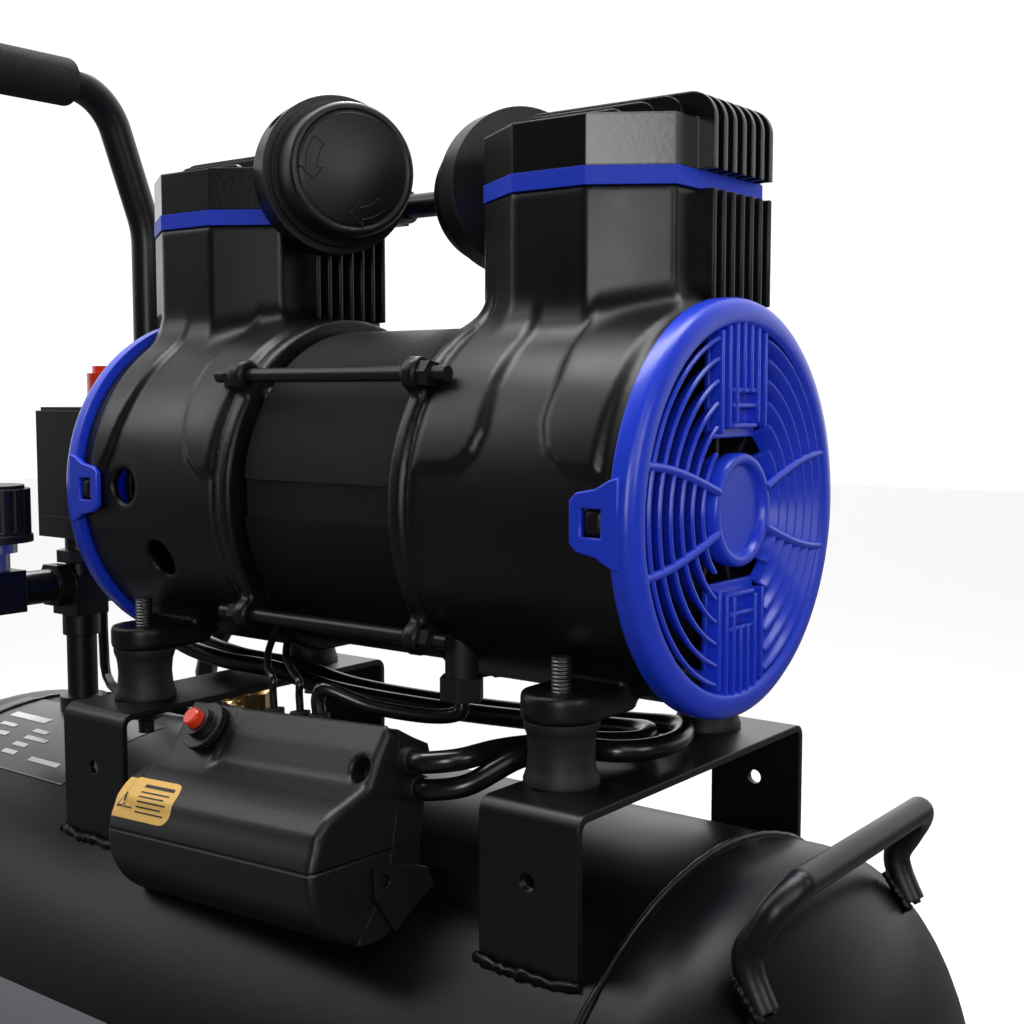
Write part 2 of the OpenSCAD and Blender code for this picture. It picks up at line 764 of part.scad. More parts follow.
module fan_cover_left() { fan_cover(-1); }
module fan_cover_right() { fan_cover(1); }

module stator_core() {
    color(STEEL) pump() difference() {
        xcyl(-44, 44, stator_r, $fn = 96);
        xcyl(-45, 45, rotor_r + 0.6);
        for (a = [0:15:345]) rotate([a, 0, 0]) block([-45, -3, rotor_r + 4], [45, 3, rotor_r + 20]);
        for (q = [-1, 1]) block([-45, q > 0 ? stator_r - 2 : -stator_r - 2, -8.5],
            [45, q > 0 ? stator_r + 2 : -stator_r + 2, 8.5]);
    }
}

module stator_windings() {
    color(COPPER) pump() {
        for (a = [0:15:345]) rotate([a, 0, 0]) block([-44, -2.6, rotor_r + 5], [44, 2.6, rotor_r + 19.5]);
        for (x = [-47.6, 44]) xtube(x, x + 3.6, rotor_r + 24, rotor_r + 3);
    }
}

module tie_rods() {
    color(STEEL) pump() for (a = [rod_angle, -rod_angle, 180 + rod_angle, 180 - rod_angle])
        rotate([a, 0, 0]) translate([0, -rod_ring, 0]) {
            xcyl(-69, 69, 3.25);
            for (s = [-1, 1]) translate([s * 56 + (s > 0 ? 0 : -5), 0, 0]) rotate([0, 90, 0]) hex(5, 10);
        }
}

module shaft_bearings() {
    color(STEEL) pump() for (s = [-1, 1]) xtube(s * 54 - 6, s * 54 + 6, 20, shaft_r + run_gap);
}

module motor_shaft() {
    color(STEEL) pump() {
        xcyl(-160, 160, shaft_r);
        for (x = bore) translate([x, 0, crank_throw]) xcyl(-5, 5, crank_r);
        for (x = bore) translate([x, 0, -9]) xcyl(7, 12, 12);
    }
}

module rotor_core() {
    color(STEEL) pump() xtube(-38, 38, rotor_r, shaft_r);
}

module cooling_fans() {
    color(BLACK) pump() for (s = [-1, 1]) {
        xtube(s * 147 - 8, s * 147 + 8, 18, shaft_r);
        xtube(s > 0 ? 139 : -142, s > 0 ? 142 : -139, 66, 17);
        for (a = [0:40:320]) rotate([a, 0, 0]) block([s * 148 - 7, -1.2, 17], [s * 148 + 7, 1.2, 66]);
    }
}

// ---------------------------------------------------------------- capacitor box
module box_frame() { translate(box_at) rotate([0, 0, box_yaw]) rotate([0, box_pitch, 0]) children(); }
module along(x0, x1, pts) {
    translate([x0, 0, 0]) rotate([90, 0, 90]) linear_extrude(x1 - x0) polygon(pts);
}
module box_body(in) {
    h = box_half - in;
    translate([0, barrel_y, barrel_z]) xcyl(-h, h, barrel_r - in);
    along(8 - h, h, [[-92 + in / 2, -90 - in], [-99 + in, -100], [-105.5 + in, -111.9 - in / 3],
        [-114 + in / 2, -118 - in], [-125.7 + in, -121.9 - in], [-130 + in, -126 - in / 2],
        [barrel_y, barrel_z], [-82 - in, -150 + in], [-76 - in, -125], [-76 - in, -112],
        [-71 - in, -105.8], [-72 - in, -101 - in], [-80, -97 - in]]);
    along(8 - h, -28 - in, [[-92 + in / 2, -90 - in], [-113 + in, -116 - in / 2],
        [-112, -128], [-90, -110]]);
}
module tank_gap() { translate([0, 0, tank_z]) xcyl(-60, 200, tank_r + 0.6, $fn = 96); }
// The half in front of the parting plane through the barrel's lowest line
module front_half() {
    along(-200, 200, [[-116, -200], [-116, -172], [-98, -150], [-88, -112], [-88, -60], [-200, -60],
        [-200, -200]]);
}

module button_place() {
    box_frame() translate([-40, -100.2, -100.1]) rotate([50, 0, 0]) children();
}

module capacitor_box_cover() {
    color(BLACK) difference() {
        intersection() {
            box_frame() box_body(0);
            box_frame() front_half();
        }
        box_frame() box_body(2.5);
        button_place() translate([0, 0, -20]) cylinder(r = 7, h = 40);
        box_frame() translate([58, -103, -104]) rotate([60, 0, 0]) translate([0, 0, -6]) cylinder(r = 5, h = 30);
        tank_gap();
    }
}

module capacitor_box_base() {
    color(BLACK) difference() {
        union() {
            difference() {
                box_frame() box_body(0);
                box_frame() front_half();
            }
            box_frame() for (x = [-72.5, box_half]) along(x, x + 2.5, [[-107, -144], [-97, -144],
                [-78, -150], [-74, -162], [-92, -180], [-107, -156]]);
        }
        box_frame() translate([0, -101.8, -149.8]) xcyl(-80, 80, 2.6);
        translate([0, 0, tank_z]) xcyl(-60, 200, tank_r, $fn = 96);
    }
}

module capacitors() {
    color(SATIN) box_frame() for (x = [-62, 4]) translate([0, -113, -138]) xcyl(x, x + 56, 13);
}

module button_collar() {
    color(BLACK) button_place() difference() {
        union() {
            zcyl(1.6, 5, 11.5);
            zcyl(-9, 9, 7);
        }
        zcyl(-15, 14, 4.4 + run_gap);
        for (a = [0:12:348]) rotate([0, 0, a]) translate([11.9, 0, 1]) cylinder(r = 0.8, h = 6, $fn = 16);
    }
}

module reset_button() {
    color(RED) button_place() {
        zcyl(-7, 12.6, 4.4);
        translate([0, 0, 12.6]) cylinder(r1 = 4.4, r2 = 3.6, h = 0.8);
    }
}

module cable_glands() {
    color(BLACK) {
        difference() {
            translate([126, -41, 466]) union() {
                hex(10, 17);
                cylinder(r = 7, h = 34);
            }
            pump() xcyl(case_in - 1, case_out, case_r, $fn = 96);
        }
        box_frame() difference() {
            for (x = [-19, -1, 12]) translate([x, -80, -103]) cylinder(r = 4.5, h = 11);
            box_body(0);
        }
        box_frame() for (q = [[-85.5, -105], [-83, -116.5]]) translate([0, q[0], q[1]]) xcyl(70, 76, 5.4);
        for (y = [8, 22]) translate([-150, y, 0]) zcyl(504, 514, 7);
        translate([-168, 0, 540]) ycyl(33, 50, 9);
    }
}

// Leads and cables that run between two housings
lead_a = [[16.5, -29.5, 501], [16.5, -40, 490], [20, -52, 477], [29, -61, 471], [37.7, -66.3, 468],
    [38.06, -66.56, 461.8], [38.58, -66.6, 455.1]];
lead_b = [[16.5, -24.5, 497.5], [16.5, -33, 487], [25, -46, 476], [40, -57, 471], [55.9, -67.9, 469.5],
    [56.36, -68.15, 463.2], [56.88, -68.2, 456.5]];
lead_c = [[126, -41, 465.7], [125, -42, 460], [112, -47, 458], [90, -58, 461], [73, -68, 468],
    [69.3, -69.25, 464.2], [69.78, -69.3, 457.5]];
cable_a = [[134.3, -80.2, 449.12], [140.2, -80.7, 449.6], [151, -73, 451], [156, -56, 452], [162, -42, 452],
    [174, -28, 452.5], [190, -20, 453], [196, -10, 453], [190, 4, 453], [170, 12, 450],
    [120, 14, 446], [60, 12, 444], [0, 10, 445], [-40, 9, 450.5], [-84, 8, 451.5],
    [-120, 8, 458], [-142, 8, 474], [-150, 8, 492], [-150, 8, 503.7]];
cable_b = [[135.1, -77.8, 437.72], [141, -78.3, 438.2], [154, -71, 441], [165, -55, 449.5],
    [171, -43, 451], [182, -35, 452.5], [198, -31, 453], [207, -18, 453], [207, 2, 453],
    [196, 20, 453], [170, 26, 450], [120, 27, 446], [60, 26, 444], [0, 24, 445], [-40, 23, 450.5],
    [-84, 22, 451.5], [-120, 22, 458], [-142, 22, 474], [-150, 22, 492], [-150, 22, 503.7]];
module wiring() {
    color(RUBBER) {
        tube(lead_a, 1.7, 2, 8);
        tube(lead_b, 1.7, 2, 8);
        tube(lead_c, 3.2, 2, 8);
        tube(cable_a, 4.5, 1);
        tube(cable_b, 4.5, 1);
    }
}

tank_shell();
tank_ends();
saddle_bracket_left();
saddle_bracket_right();
carry_handle();
push_handle();
handle_grip();
wheel_bracket();
wheel_axle();
foot_bracket();
rubber_feet();
drain_valve_body();
pipe_nipple();
check_valve();
air_manifold();
switch_base();
switch_cover();
regulator_body();
gauge_cases();
coupler_body();
relief_valve_body();
delivery_tubes();
rubber_mounts();
mount_hardware();
crankcase_left();
crankcase_right();
cylinder_sleeves();
pistons();
valve_plates();
cylinder_head_left();
cylinder_head_right();
filter_bases();
filter_elements();
fan_cover_left();
fan_cover_right();
stator_core();
stator_windings();
tie_rods();
shaft_bearings();
capacitor_box_base();
capacitor_box_cover();
capacitors();
button_collar();
wiring();
cable_glands();
motor_shaft();
rotor_core();
cooling_fans();
wheel_front();
wheel_rear();
filter_cap_left();
filter_cap_right();
reset_button();
switch_knob();
regulator_knob();
relief_ring();
coupler_sleeve();
drain_knob();
gauge_needle_tank();
gauge_needle_outlet();
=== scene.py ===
import bpy
import bmesh
import math
import numpy as np
from mathutils import Matrix, Vector
from mathutils.bvhtree import BVHTree


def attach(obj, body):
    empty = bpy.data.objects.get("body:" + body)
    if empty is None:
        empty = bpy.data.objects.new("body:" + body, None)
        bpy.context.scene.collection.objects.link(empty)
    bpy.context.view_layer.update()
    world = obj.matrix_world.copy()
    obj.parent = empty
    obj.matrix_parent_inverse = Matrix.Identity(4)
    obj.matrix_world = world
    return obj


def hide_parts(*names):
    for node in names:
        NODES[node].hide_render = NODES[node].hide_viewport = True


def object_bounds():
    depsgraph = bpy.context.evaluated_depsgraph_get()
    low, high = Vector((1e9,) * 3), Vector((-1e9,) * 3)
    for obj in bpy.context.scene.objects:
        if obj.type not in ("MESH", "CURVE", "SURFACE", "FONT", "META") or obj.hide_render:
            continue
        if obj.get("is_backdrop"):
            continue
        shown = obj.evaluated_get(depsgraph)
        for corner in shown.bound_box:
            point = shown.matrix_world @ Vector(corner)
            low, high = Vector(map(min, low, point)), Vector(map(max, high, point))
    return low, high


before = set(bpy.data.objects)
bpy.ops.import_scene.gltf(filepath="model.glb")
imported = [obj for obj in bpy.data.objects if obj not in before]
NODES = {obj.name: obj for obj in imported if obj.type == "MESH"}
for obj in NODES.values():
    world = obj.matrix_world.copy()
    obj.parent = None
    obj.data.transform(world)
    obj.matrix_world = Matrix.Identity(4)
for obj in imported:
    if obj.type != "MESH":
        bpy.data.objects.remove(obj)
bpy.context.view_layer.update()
MM = 0.001
PUMP = Vector((62.5, 12.0, 548.0))


# ------------------------------------------------------------------ materials
def principled(name, color, rough, metal=0.0, coat=0.0, spec=0.5):
    m = bpy.data.materials.new(name)
    m.use_nodes = True
    b = m.node_tree.nodes["Principled BSDF"]
    b.inputs["Base Color"].default_value = (*color, 1.0)
    b.inputs["Roughness"].default_value = rough
    b.inputs["Metallic"].default_value = metal
    b.inputs["Coat Weight"].default_value = coat
    b.inputs["Coat Roughness"].default_value = 0.12
    b.inputs["Specular IOR Level"].default_value = spec
    return m


def add_bump(m, scale, strength, distance=0.0004, detail=3.0, stretch=None):
    """Fine surface relief from noise in object coordinates."""
    t = m.node_tree
    b = t.nodes["Principled BSDF"]
    co = t.nodes.new("ShaderNodeTexCoord")
    noise = t.nodes.new("ShaderNodeTexNoise")
    noise.inputs["Scale"].default_value = scale
    noise.inputs["Detail"].default_value = detail
    bump = t.nodes.new("ShaderNodeBump")
    bump.inputs["Strength"].default_value = strength
    bump.inputs["Distance"].default_value = distance
    if stretch:
        mp = t.nodes.new("ShaderNodeMapping")
        mp.inputs["Scale"].default_value = stretch
        t.links.new(co.outputs["Object"], mp.inputs["Vector"])
        t.links.new(mp.outputs["Vector"], noise.inputs["Vector"])
    else:
        t.links.new(co.outputs["Object"], noise.inputs["Vector"])
    t.links.new(noise.outputs["Fac"], bump.inputs["Height"])
    old = [l for l in t.links if l.to_socket == b.inputs["Normal"]]
    if old:
        t.links.new(old[0].from_socket, bump.inputs["Normal"])
    t.links.new(bump.outputs["Normal"], b.inputs["Normal"])
    return m


def add_mottle(m, scale, low, high):
    """Roughness varies slowly over the surface."""
    t = m.node_tree
    b = t.nodes["Principled BSDF"]
    co = t.nodes.new("ShaderNodeTexCoord")
    noise = t.nodes.new("ShaderNodeTexNoise")
    noise.inputs["Scale"].default_value = scale
    noise.inputs["Detail"].default_value = 6.0
    rng = t.nodes.new("ShaderNodeMapRange")
    rng.inputs["From Min"].default_value = 0.3
    rng.inputs["From Max"].default_value = 0.7
    rng.inputs["To Min"].default_value = low
    rng.inputs["To Max"].default_value = high
    t.links.new(co.outputs["Object"], noise.inputs["Vector"])
    t.links.new(noise.outputs["Fac"], rng.inputs["Value"])
    t.links.new(rng.outputs["Result"], b.inputs["Roughness"])
    return m


def add_lines(m, axis, pitch, depth, strength=0.6):
    """Fine parallel grooves across one object axis."""
    t = m.node_tree
    b = t.nodes["Principled BSDF"]
    co = t.nodes.new("ShaderNodeTexCoord")
    sep = t.nodes.new("ShaderNodeSeparateXYZ")
    mul = t.nodes.new("ShaderNodeMath")
    mul.operation = "MULTIPLY"
    mul.inputs[1].default_value = 2 * math.pi / pitch
    sine = t.nodes.new("ShaderNodeMath")
    sine.operation = "SINE"
    bump = t.nodes.new("ShaderNodeBump")
    bump.inputs["Strength"].default_value = strength
    bump.inputs["Distance"].default_value = depth
    t.links.new(co.outputs["Object"], sep.inputs["Vector"])
    t.links.new(sep.outputs[axis], mul.inputs[0])
    t.links.new(mul.outputs[0], sine.inputs[0])
    t.links.new(sine.outputs[0], bump.inputs["Height"])
    t.links.new(bump.outputs["Normal"], b.inputs["Normal"])
    return m


def add_groove(m, axis, at, half, depth):
    """One dark parting groove where the object coordinate passes a value."""
    t = m.node_tree
    b = t.nodes["Principled BSDF"]
    co = t.nodes.new("ShaderNodeTexCoord")
    sep = t.nodes.new("ShaderNodeSeparateXYZ")
    cmp_ = t.nodes.new("ShaderNodeMath")
    cmp_.operation = "SUBTRACT"
    cmp_.inputs[1].default_value = at
    ab = t.nodes.new("ShaderNodeMath")
    ab.operation = "ABSOLUTE"
    rng = t.nodes.new("ShaderNodeMapRange")
    rng.inputs["From Min"].default_value = half * 0.3
    rng.inputs["From Max"].default_value = half
    bump = t.nodes.new("ShaderNodeBump")
    bump.inputs["Strength"].default_value = 1.0
    bump.inputs["Distance"].default_value = depth
    t.links.new(co.outputs["Object"], sep.inputs["Vector"])
    t.links.new(sep.outputs[axis], cmp_.inputs[0])
    t.links.new(cmp_.outputs[0], ab.inputs[0])
    t.links.new(ab.outputs[0], rng.inputs["Value"])
    t.links.new(rng.outputs["Result"], bump.inputs["Height"])
    old = [l for l in t.links if l.to_socket == b.inputs["Normal"]]
    if old:
        t.links.new(old[0].from_socket, bump.inputs["Normal"])
    t.links.new(bump.outputs["Normal"], b.inputs["Normal"])
    return m


BLACK = (0.0035, 0.0035, 0.004)
M = {}
M["tank"] = add_mottle(add_bump(principled("tank", (0.002, 0.002, 0.0023), 0.34, spec=0.22), 260, 0.12),
                       9, 0.3, 0.38)
M["frame"] = add_bump(principled("frame", BLACK, 0.36), 420, 0.15)
M["cast"] = add_mottle(add_bump(principled("cast", (0.004, 0.004, 0.0048), 0.36, spec=0.42), 1500, 0.12, 0.0002),
                       25, 0.3, 0.4)
M["head"] = add_bump(principled("head", BLACK, 0.24, coat=0.2), 500, 0.15)
M["plastic"] = add_bump(principled("plastic", (0.006, 0.006, 0.007), 0.42), 1700, 0.3, 0.0002)
M["grain"] = add_bump(principled("grain", (0.006, 0.006, 0.007), 0.38), 1300, 0.5, 0.0002)
M["box"] = add_groove(M["grain"].copy(), "Z", -0.1392, 0.0009, 0.0009)
M["blue"] = add_bump(principled("blue", (0.015, 0.053, 0.72), 0.3, coat=0.1), 900, 0.06, 0.0002)
M["bluepaint"] = principled("bluepaint", (0.016, 0.056, 0.7), 0.5, spec=0.25)
M["rubber"] = add_bump(principled("rubber", (0.009, 0.009, 0.009), 0.55), 900, 0.2)
M["foam"] = add_bump(principled("foam", (0.014, 0.014, 0.014), 0.85, spec=0.3), 1100, 0.9, 0.0006)
M["thread"] = add_lines(principled("thread", (0.3, 0.3, 0.31), 0.35, 1.0), "Z", 0.0015, 0.0006, 0.8)
M["steel"] = add_mottle(principled("steel", (0.55, 0.56, 0.58), 0.3, 1.0), 120, 0.22, 0.38)
M["darksteel"] = principled("darksteel", (0.03, 0.03, 0.032), 0.32, 0.6)
M["brass"] = add_mottle(principled("brass", (0.66, 0.47, 0.2), 0.3, 1.0), 200, 0.22, 0.36)
M["alu"] = principled("alu", (0.7, 0.7, 0.72), 0.35, 1.0)
M["tube"] = principled("tube", (0.05, 0.05, 0.055), 0.3, 0.8)
M["lamin"] = add_lines(principled("lamin", (0.004, 0.004, 0.0045), 0.5, spec=0.25), "X", 0.00105, 0.0004, 0.8)
M["copper"] = add_lines(principled("copper", (0.45, 0.17, 0.06), 0.35, 0.9), "X", 0.0008, 0.0004)
M["cable"] = principled("cable", (0.006, 0.006, 0.006), 0.25, coat=0.2)
M["felt"] = add_bump(principled("felt", (0.75, 0.74, 0.7), 0.95), 600, 0.8, 0.0008)
M["red"] = principled("red", (0.82, 0.045, 0.008), 0.25, coat=0.4)
M["yellow"] = principled("yellow", (0.83, 0.5, 0.12), 0.42)
M["ink"] = principled("ink", (0.01, 0.01, 0.01), 0.5)
M["plate"] = principled("plate", (0.012, 0.012, 0.013), 0.3, coat=0.3)
M["print"] = principled("print", (0.7, 0.7, 0.7), 0.5)
M["greylabel"] = principled("greylabel", (0.16, 0.16, 0.18), 0.35)
M["tyre"] = add_bump(principled("tyre", (0.011, 0.011, 0.011), 0.7), 500, 0.4)


# ------------------------------------------------------------------ builders
def finish_piece(o, mat, slot=None, body="compressor", replaces=(), smooth=35):
    o.data.materials.clear()
    o.data.materials.append(M[mat])
    if o.type == "MESH" and smooth is not None:
        soften(o, smooth)
    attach(o, body)
    if replaces:
        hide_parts(*replaces)
    return o


def soften(o, angle=35):
    me = o.data
    n = len(me.polygons)
    me.polygons.foreach_set("use_smooth", [True] * n)
    me.update()
    bm = bmesh.new()
    bm.from_mesh(me)
    lim = math.radians(angle)
    sharp = [e.index for e in bm.edges if len(e.link_faces) != 2 or e.calc_face_angle(0.0) > lim]
    bm.free()
    att = me.attributes.get("sharp_edge") or me.attributes.new("sharp_edge", "BOOLEAN", "EDGE")
    vals = np.zeros(len(me.edges), bool)
    vals[sharp] = True
    att.data.foreach_set("value", vals)


def mesh_object(name, verts, faces, matrix=None):
    me = bpy.data.meshes.new(name)
    me.from_pydata([tuple(v) for v in verts], [], [tuple(f) for f in faces])
    me.update()
    o = bpy.data.objects.new(name, me)
    bpy.context.scene.collection.objects.link(o)
    if matrix is not None:
        o.matrix_world = matrix
    return o


def bevel(o, width, segments=2, angle=30):
    b = o.modifiers.new("edge", "BEVEL")
    b.width = width * MM
    b.segments = segments
    b.limit_method = "ANGLE"
    b.angle_limit = math.radians(angle)
    b.harden_normals = False
    return o


def boxes(name, items, bev=0.0, mat="cast", slot=None, body="compressor", matrix=None, replaces=(),
          segments=2):
    """Many boxes in one piece; each item is (lo, hi) in mm, with an optional matrix."""
    V, F = [], []
    for it in items:
        lo, hi = it[0], it[1]
        m = it[2] if len(it) > 2 else None
        k = len(V)
        for x in (lo[0], hi[0]):
            for y in (lo[1], hi[1]):
                for z in (lo[2], hi[2]):
                    p = Vector((x, y, z))
                    V.append((m @ p if m else p) * MM)
        for f in ((0, 1, 3, 2), (4, 6, 7, 5), (0, 4, 5, 1), (2, 3, 7, 6), (0, 2, 6, 4), (1, 5, 7, 3)):
            F.append([k + i for i in f])
    o = mesh_object(name, V, F, matrix)
    if bev:
        bevel(o, bev, segments)
    return finish_piece(o, mat, slot, body, replaces)


def revolve(name, profile, n=96, axis_matrix=None, mat="plastic", slot=None, body="compressor",
            replaces=(), a0=0.0, a1=360.0, smooth=35, bev=0.0):
    """A closed (r, x) profile in mm turned about the local X axis."""
    full = abs(a1 - a0) >= 359.9
    k = n if full else n + 1
    ang = np.radians(np.linspace(a0, a1, n, endpoint=False) if full else np.linspace(a0, a1, n + 1))
    p = np.array(profile, float)
    V = []
    for a in ang:
        for r, x in p:
            V.append((x * MM, r * math.cos(a) * MM, r * math.sin(a) * MM))
    F = []
    c = len(p)
    for i in range(n):
        j = (i + 1) % k
        for q in range(c):
            w = (q + 1) % c
            if p[q][0] < 1e-6 and p[w][0] < 1e-6:
                continue
            F.append((i * c + q, i * c + w, j * c + w, j * c + q))
    if not full:
        F.append(tuple(range(c)))
        F.append(tuple((k - 1) * c + q for q in reversed(range(c))))
    o = mesh_object(name, V, F, axis_matrix)
    bm = bmesh.new()
    bm.from_mesh(o.data)
    bmesh.ops.remove_doubles(bm, verts=bm.verts, dist=1e-6)
    bmesh.ops.dissolve_degenerate(bm, edges=bm.edges, dist=1e-7)
    bmesh.ops.recalc_face_normals(bm, faces=bm.faces)
    bm.to_mesh(o.data)
    bm.free()
    if bev:
        bevel(o, bev)
    return finish_piece(o, mat, slot, body, replaces, smooth)


def tube(name, pts, r, mat="cable", slot="cable", body="compressor", sides=16, steps=8, replaces=(),
         jitter=0.0, seed=1, caps=True, matrix=None, cyclic=False):
    """A smooth tube through points in mm."""
    P = np.array(pts, float)
    n = len(P)
    Q = []
    if n == 2:
        Q = [P[0] + (P[1] - P[0]) * t for t in np.linspace(0, 1, steps + 1)]
    else:
        segs = n if cyclic else n - 1
        for i in range(segs):
            a, b, c, d = (P[(i - 1) % n], P[i], P[(i + 1) % n], P[(i + 2) % n]) if cyclic else (
                P[max(i - 1, 0)], P[i], P[i + 1], P[min(i + 2, n - 1)])
            for t in np.linspace(0, 1, steps, endpoint=False):
                Q.append(0.5 * (2 * b + (c - a) * t + (2 * a - 5 * b + 4 * c - d) * t * t
                                + (3 * b - a - 3 * c + d) * t ** 3))
        if not cyclic:
            Q.append(P[-1])
    Q = np.array(Q)
    rng = np.random.default_rng(seed)
    T = np.gradient(Q, axis=0)
    if cyclic:
        T = np.roll(Q, -1, 0) - np.roll(Q, 1, 0)
    T /= np.linalg.norm(T, axis=1)[:, None]
    up = np.array([0, 0, 1.0]) if abs(T[0][2]) < 0.9 else np.array([1.0, 0, 0])
    V, F = [], []
    s = np.cross(T[0], up)
    s /= np.linalg.norm(s)
    for i, (q, t) in enumerate(zip(Q, T)):
        s = s - t * (s @ t)
        s /= np.linalg.norm(s)
        u = np.cross(s, t)
        rr = r[i % len(r)] if isinstance(r, (list, tuple)) else r
        if jitter:
            rr = rr * (1 + jitter * rng.uniform(-1, 1))
        for k in range(sides):
            a = 2 * math.pi * k / sides
            w = rr * (1 + (jitter * 0.5 * rng.uniform(-1, 1) if jitter else 0))
            V.append((q + w * (s * math.cos(a) + u * math.sin(a))) * MM)
    m = len(Q)
    for i in range(m if cyclic else m - 1):
        j = (i + 1) % m
        for k in range(sides):
            l = (k + 1) % sides
            F.append((i * sides + k, i * sides + l, j * sides + l, j * sides + k))
    if caps and not cyclic:
        F.append(tuple(reversed(range(sides))))
        F.append(tuple((m - 1) * sides + k for k in range(sides)))
    o = mesh_object(name, V, F, matrix)
    return finish_piece(o, mat, slot, body, replaces, 60)


# ---- signed-distance solids and their mesh
def smin(a, b, k):
    h = np.clip(0.5 + 0.5 * (b - a) / k, 0, 1)
    return b * (1 - h) + a * h - k * h * (1 - h)


def smax(a, b, k):
    return -smin(-a, -b, k)


def round_pair(d1, d2, r):
    a, b = d1 + r, d2 + r
    return np.minimum(np.maximum(a, b), 0) + np.hypot(np.maximum(a, 0), np.maximum(b, 0)) - r


def sd_box(X, Y, Z, lo, hi, r=0.0):
    dx = np.abs(X - (lo[0] + hi[0]) / 2) - (hi[0] - lo[0]) / 2 + r
    dy = np.abs(Y - (lo[1] + hi[1]) / 2) - (hi[1] - lo[1]) / 2 + r
    dz = np.abs(Z - (lo[2] + hi[2]) / 2) - (hi[2] - lo[2]) / 2 + r
    out = np.sqrt(np.maximum(dx, 0) ** 2 + np.maximum(dy, 0) ** 2 + np.maximum(dz, 0) ** 2)
    return out + np.minimum(np.maximum(np.maximum(dx, dy), dz), 0) - r


def sd_poly(U, W, pts):
    """Exact distance to a closed polygon in the plane, negative inside."""
    d = np.full(U.shape, 1e9, np.float32)
    inside = np.zeros(U.shape, bool)
    n = len(pts)
    for i in range(n):
        ax, ay = pts[i]
        bx, by = pts[(i + 1) % n]
        ex, ey = bx - ax, by - ay
        t = np.clip(((U - ax) * ex + (W - ay) * ey) / (ex * ex + ey * ey), 0, 1)
        d = np.minimum(d, (U - ax - ex * t) ** 2 + (W - ay - ey * t) ** 2)
        c = (W >= ay) != (W >= by)
        if abs(ey) > 1e-9:
            inside ^= c & (U < ax + (W - ay) * ex / ey)
    d = np.sqrt(d)
    return np.where(inside, -d, d)


def nets(F, lo, h):
    """Surface nets: one vertex for each cell the surface crosses."""
    shape = np.array(F.shape)
    cs = shape - 1
    total = int(np.prod(cs))
    acc = np.zeros((total, 3))
    cnt = np.zeros(total)
    quads = []
    for ax in range(3):
        o1, o2 = [(1, 2), (2, 0), (0, 1)][ax]
        a = F[tuple(slice(0, -1) if i == ax else slice(None) for i in range(3))]
        b = F[tuple(slice(1, None) if i == ax else slice(None) for i in range(3))]
        cross = (a < 0) != (b < 0)
        idx = np.argwhere(cross)
        va, vb = a[cross], b[cross]
        p = idx.astype(float)
        p[:, ax] += va / (va - vb)
        ok = (idx[:, o1] > 0) & (idx[:, o1] < cs[o1]) & (idx[:, o2] > 0) & (idx[:, o2] < cs[o2])
        idx, p, va = idx[ok], p[ok], va[ok]
        cell = []
        for d1, d2 in ((0, 0), (-1, 0), (-1, -1), (0, -1)):
            c = idx.copy()
            c[:, o1] += d1
            c[:, o2] += d2
            flat = (c[:, 0] * cs[1] + c[:, 1]) * cs[2] + c[:, 2]
            for k in range(3):
                acc[:, k] += np.bincount(flat, p[:, k], total)
            cnt += np.bincount(flat, minlength=total)
            cell.append(flat)
        q = np.stack(cell, 1)
        neg = va >= 0
        q[neg] = q[neg][:, ::-1]
        quads.append(q)
    used = cnt > 0
    remap = np.full(total, -1)
    remap[used] = np.arange(used.sum())
    V = acc[used] / cnt[used][:, None] * h + np.array(lo)
    Q = remap[np.concatenate(quads)]
    return V, Q


def relax(V, Q, passes=2):
    """Evens the vertices without shrinking the shape."""
    E = np.concatenate([Q[:, [0, 1]], Q[:, [1, 2]], Q[:, [2, 3]], Q[:, [3, 0]]])
    n = len(V)
    deg = np.bincount(E[:, 0], minlength=n) + np.bincount(E[:, 1], minlength=n)
    for _ in range(passes):
        for w in (0.5, -0.52):
            s = np.zeros_like(V)
            for k in range(3):
                s[:, k] = np.bincount(E[:, 0], V[E[:, 1], k], n) + np.bincount(E[:, 1], V[E[:, 0], k], n)
            V = V + w * (s / deg[:, None] - V)
    return V


def sdf_object(name, f, lo, hi, h, matrix=None, **kw):
    ax = [np.arange(lo[i], hi[i] + h, h, dtype=np.float32) for i in range(3)]
    X, Y, Z = np.meshgrid(*ax, indexing="ij")
    V, Q = nets(f(X, Y, Z).astype(np.float32), lo, h)
    V = relax(V, Q) * MM
    me = bpy.data.meshes.new(name)
    me.vertices.add(len(V))
    me.vertices.foreach_set("co", V.astype(np.float32).ravel())
    me.loops.add(Q.size)
    me.loops.foreach_set("vertex_index", Q.astype(np.int32).ravel())
    me.polygons.add(len(Q))
    me.polygons.foreach_set("loop_start", np.arange(0, Q.size, 4, dtype=np.int32))
    me.polygons.foreach_set("loop_total", np.full(len(Q), 4, np.int32))
    me.update(calc_edges=True)
    me.validate()
    o = bpy.data.objects.new(name, me)
    bpy.context.scene.collection.objects.link(o)
    if matrix is not None:
        o.matrix_world = matrix
    me.polygons.foreach_set("use_smooth", [True] * len(me.polygons))
    return finish_piece(o, smooth=None, **kw)


def pump_matrix(offset=(0, 0, 0)):
    return Matrix.Translation((PUMP + Vector(offset)) * MM)


# ------------------------------------------------------------------ dressing of the CAD nodes
def round_edges(m, radius):
    """Edges catch the light as if they had a small radius."""
    t = m.node_tree
    b = t.nodes["Principled BSDF"]
    bev = t.nodes.new("ShaderNodeBevel")
    bev.samples = 4
    bev.inputs["Radius"].default_value = radius * MM
    bumps = [n for n in t.nodes if n.type == "BUMP" and not n.inputs["Normal"].is_linked]
    t.links.new(bev.outputs["Normal"], bumps[0].inputs["Normal"] if bumps else b.inputs["Normal"])
    return m


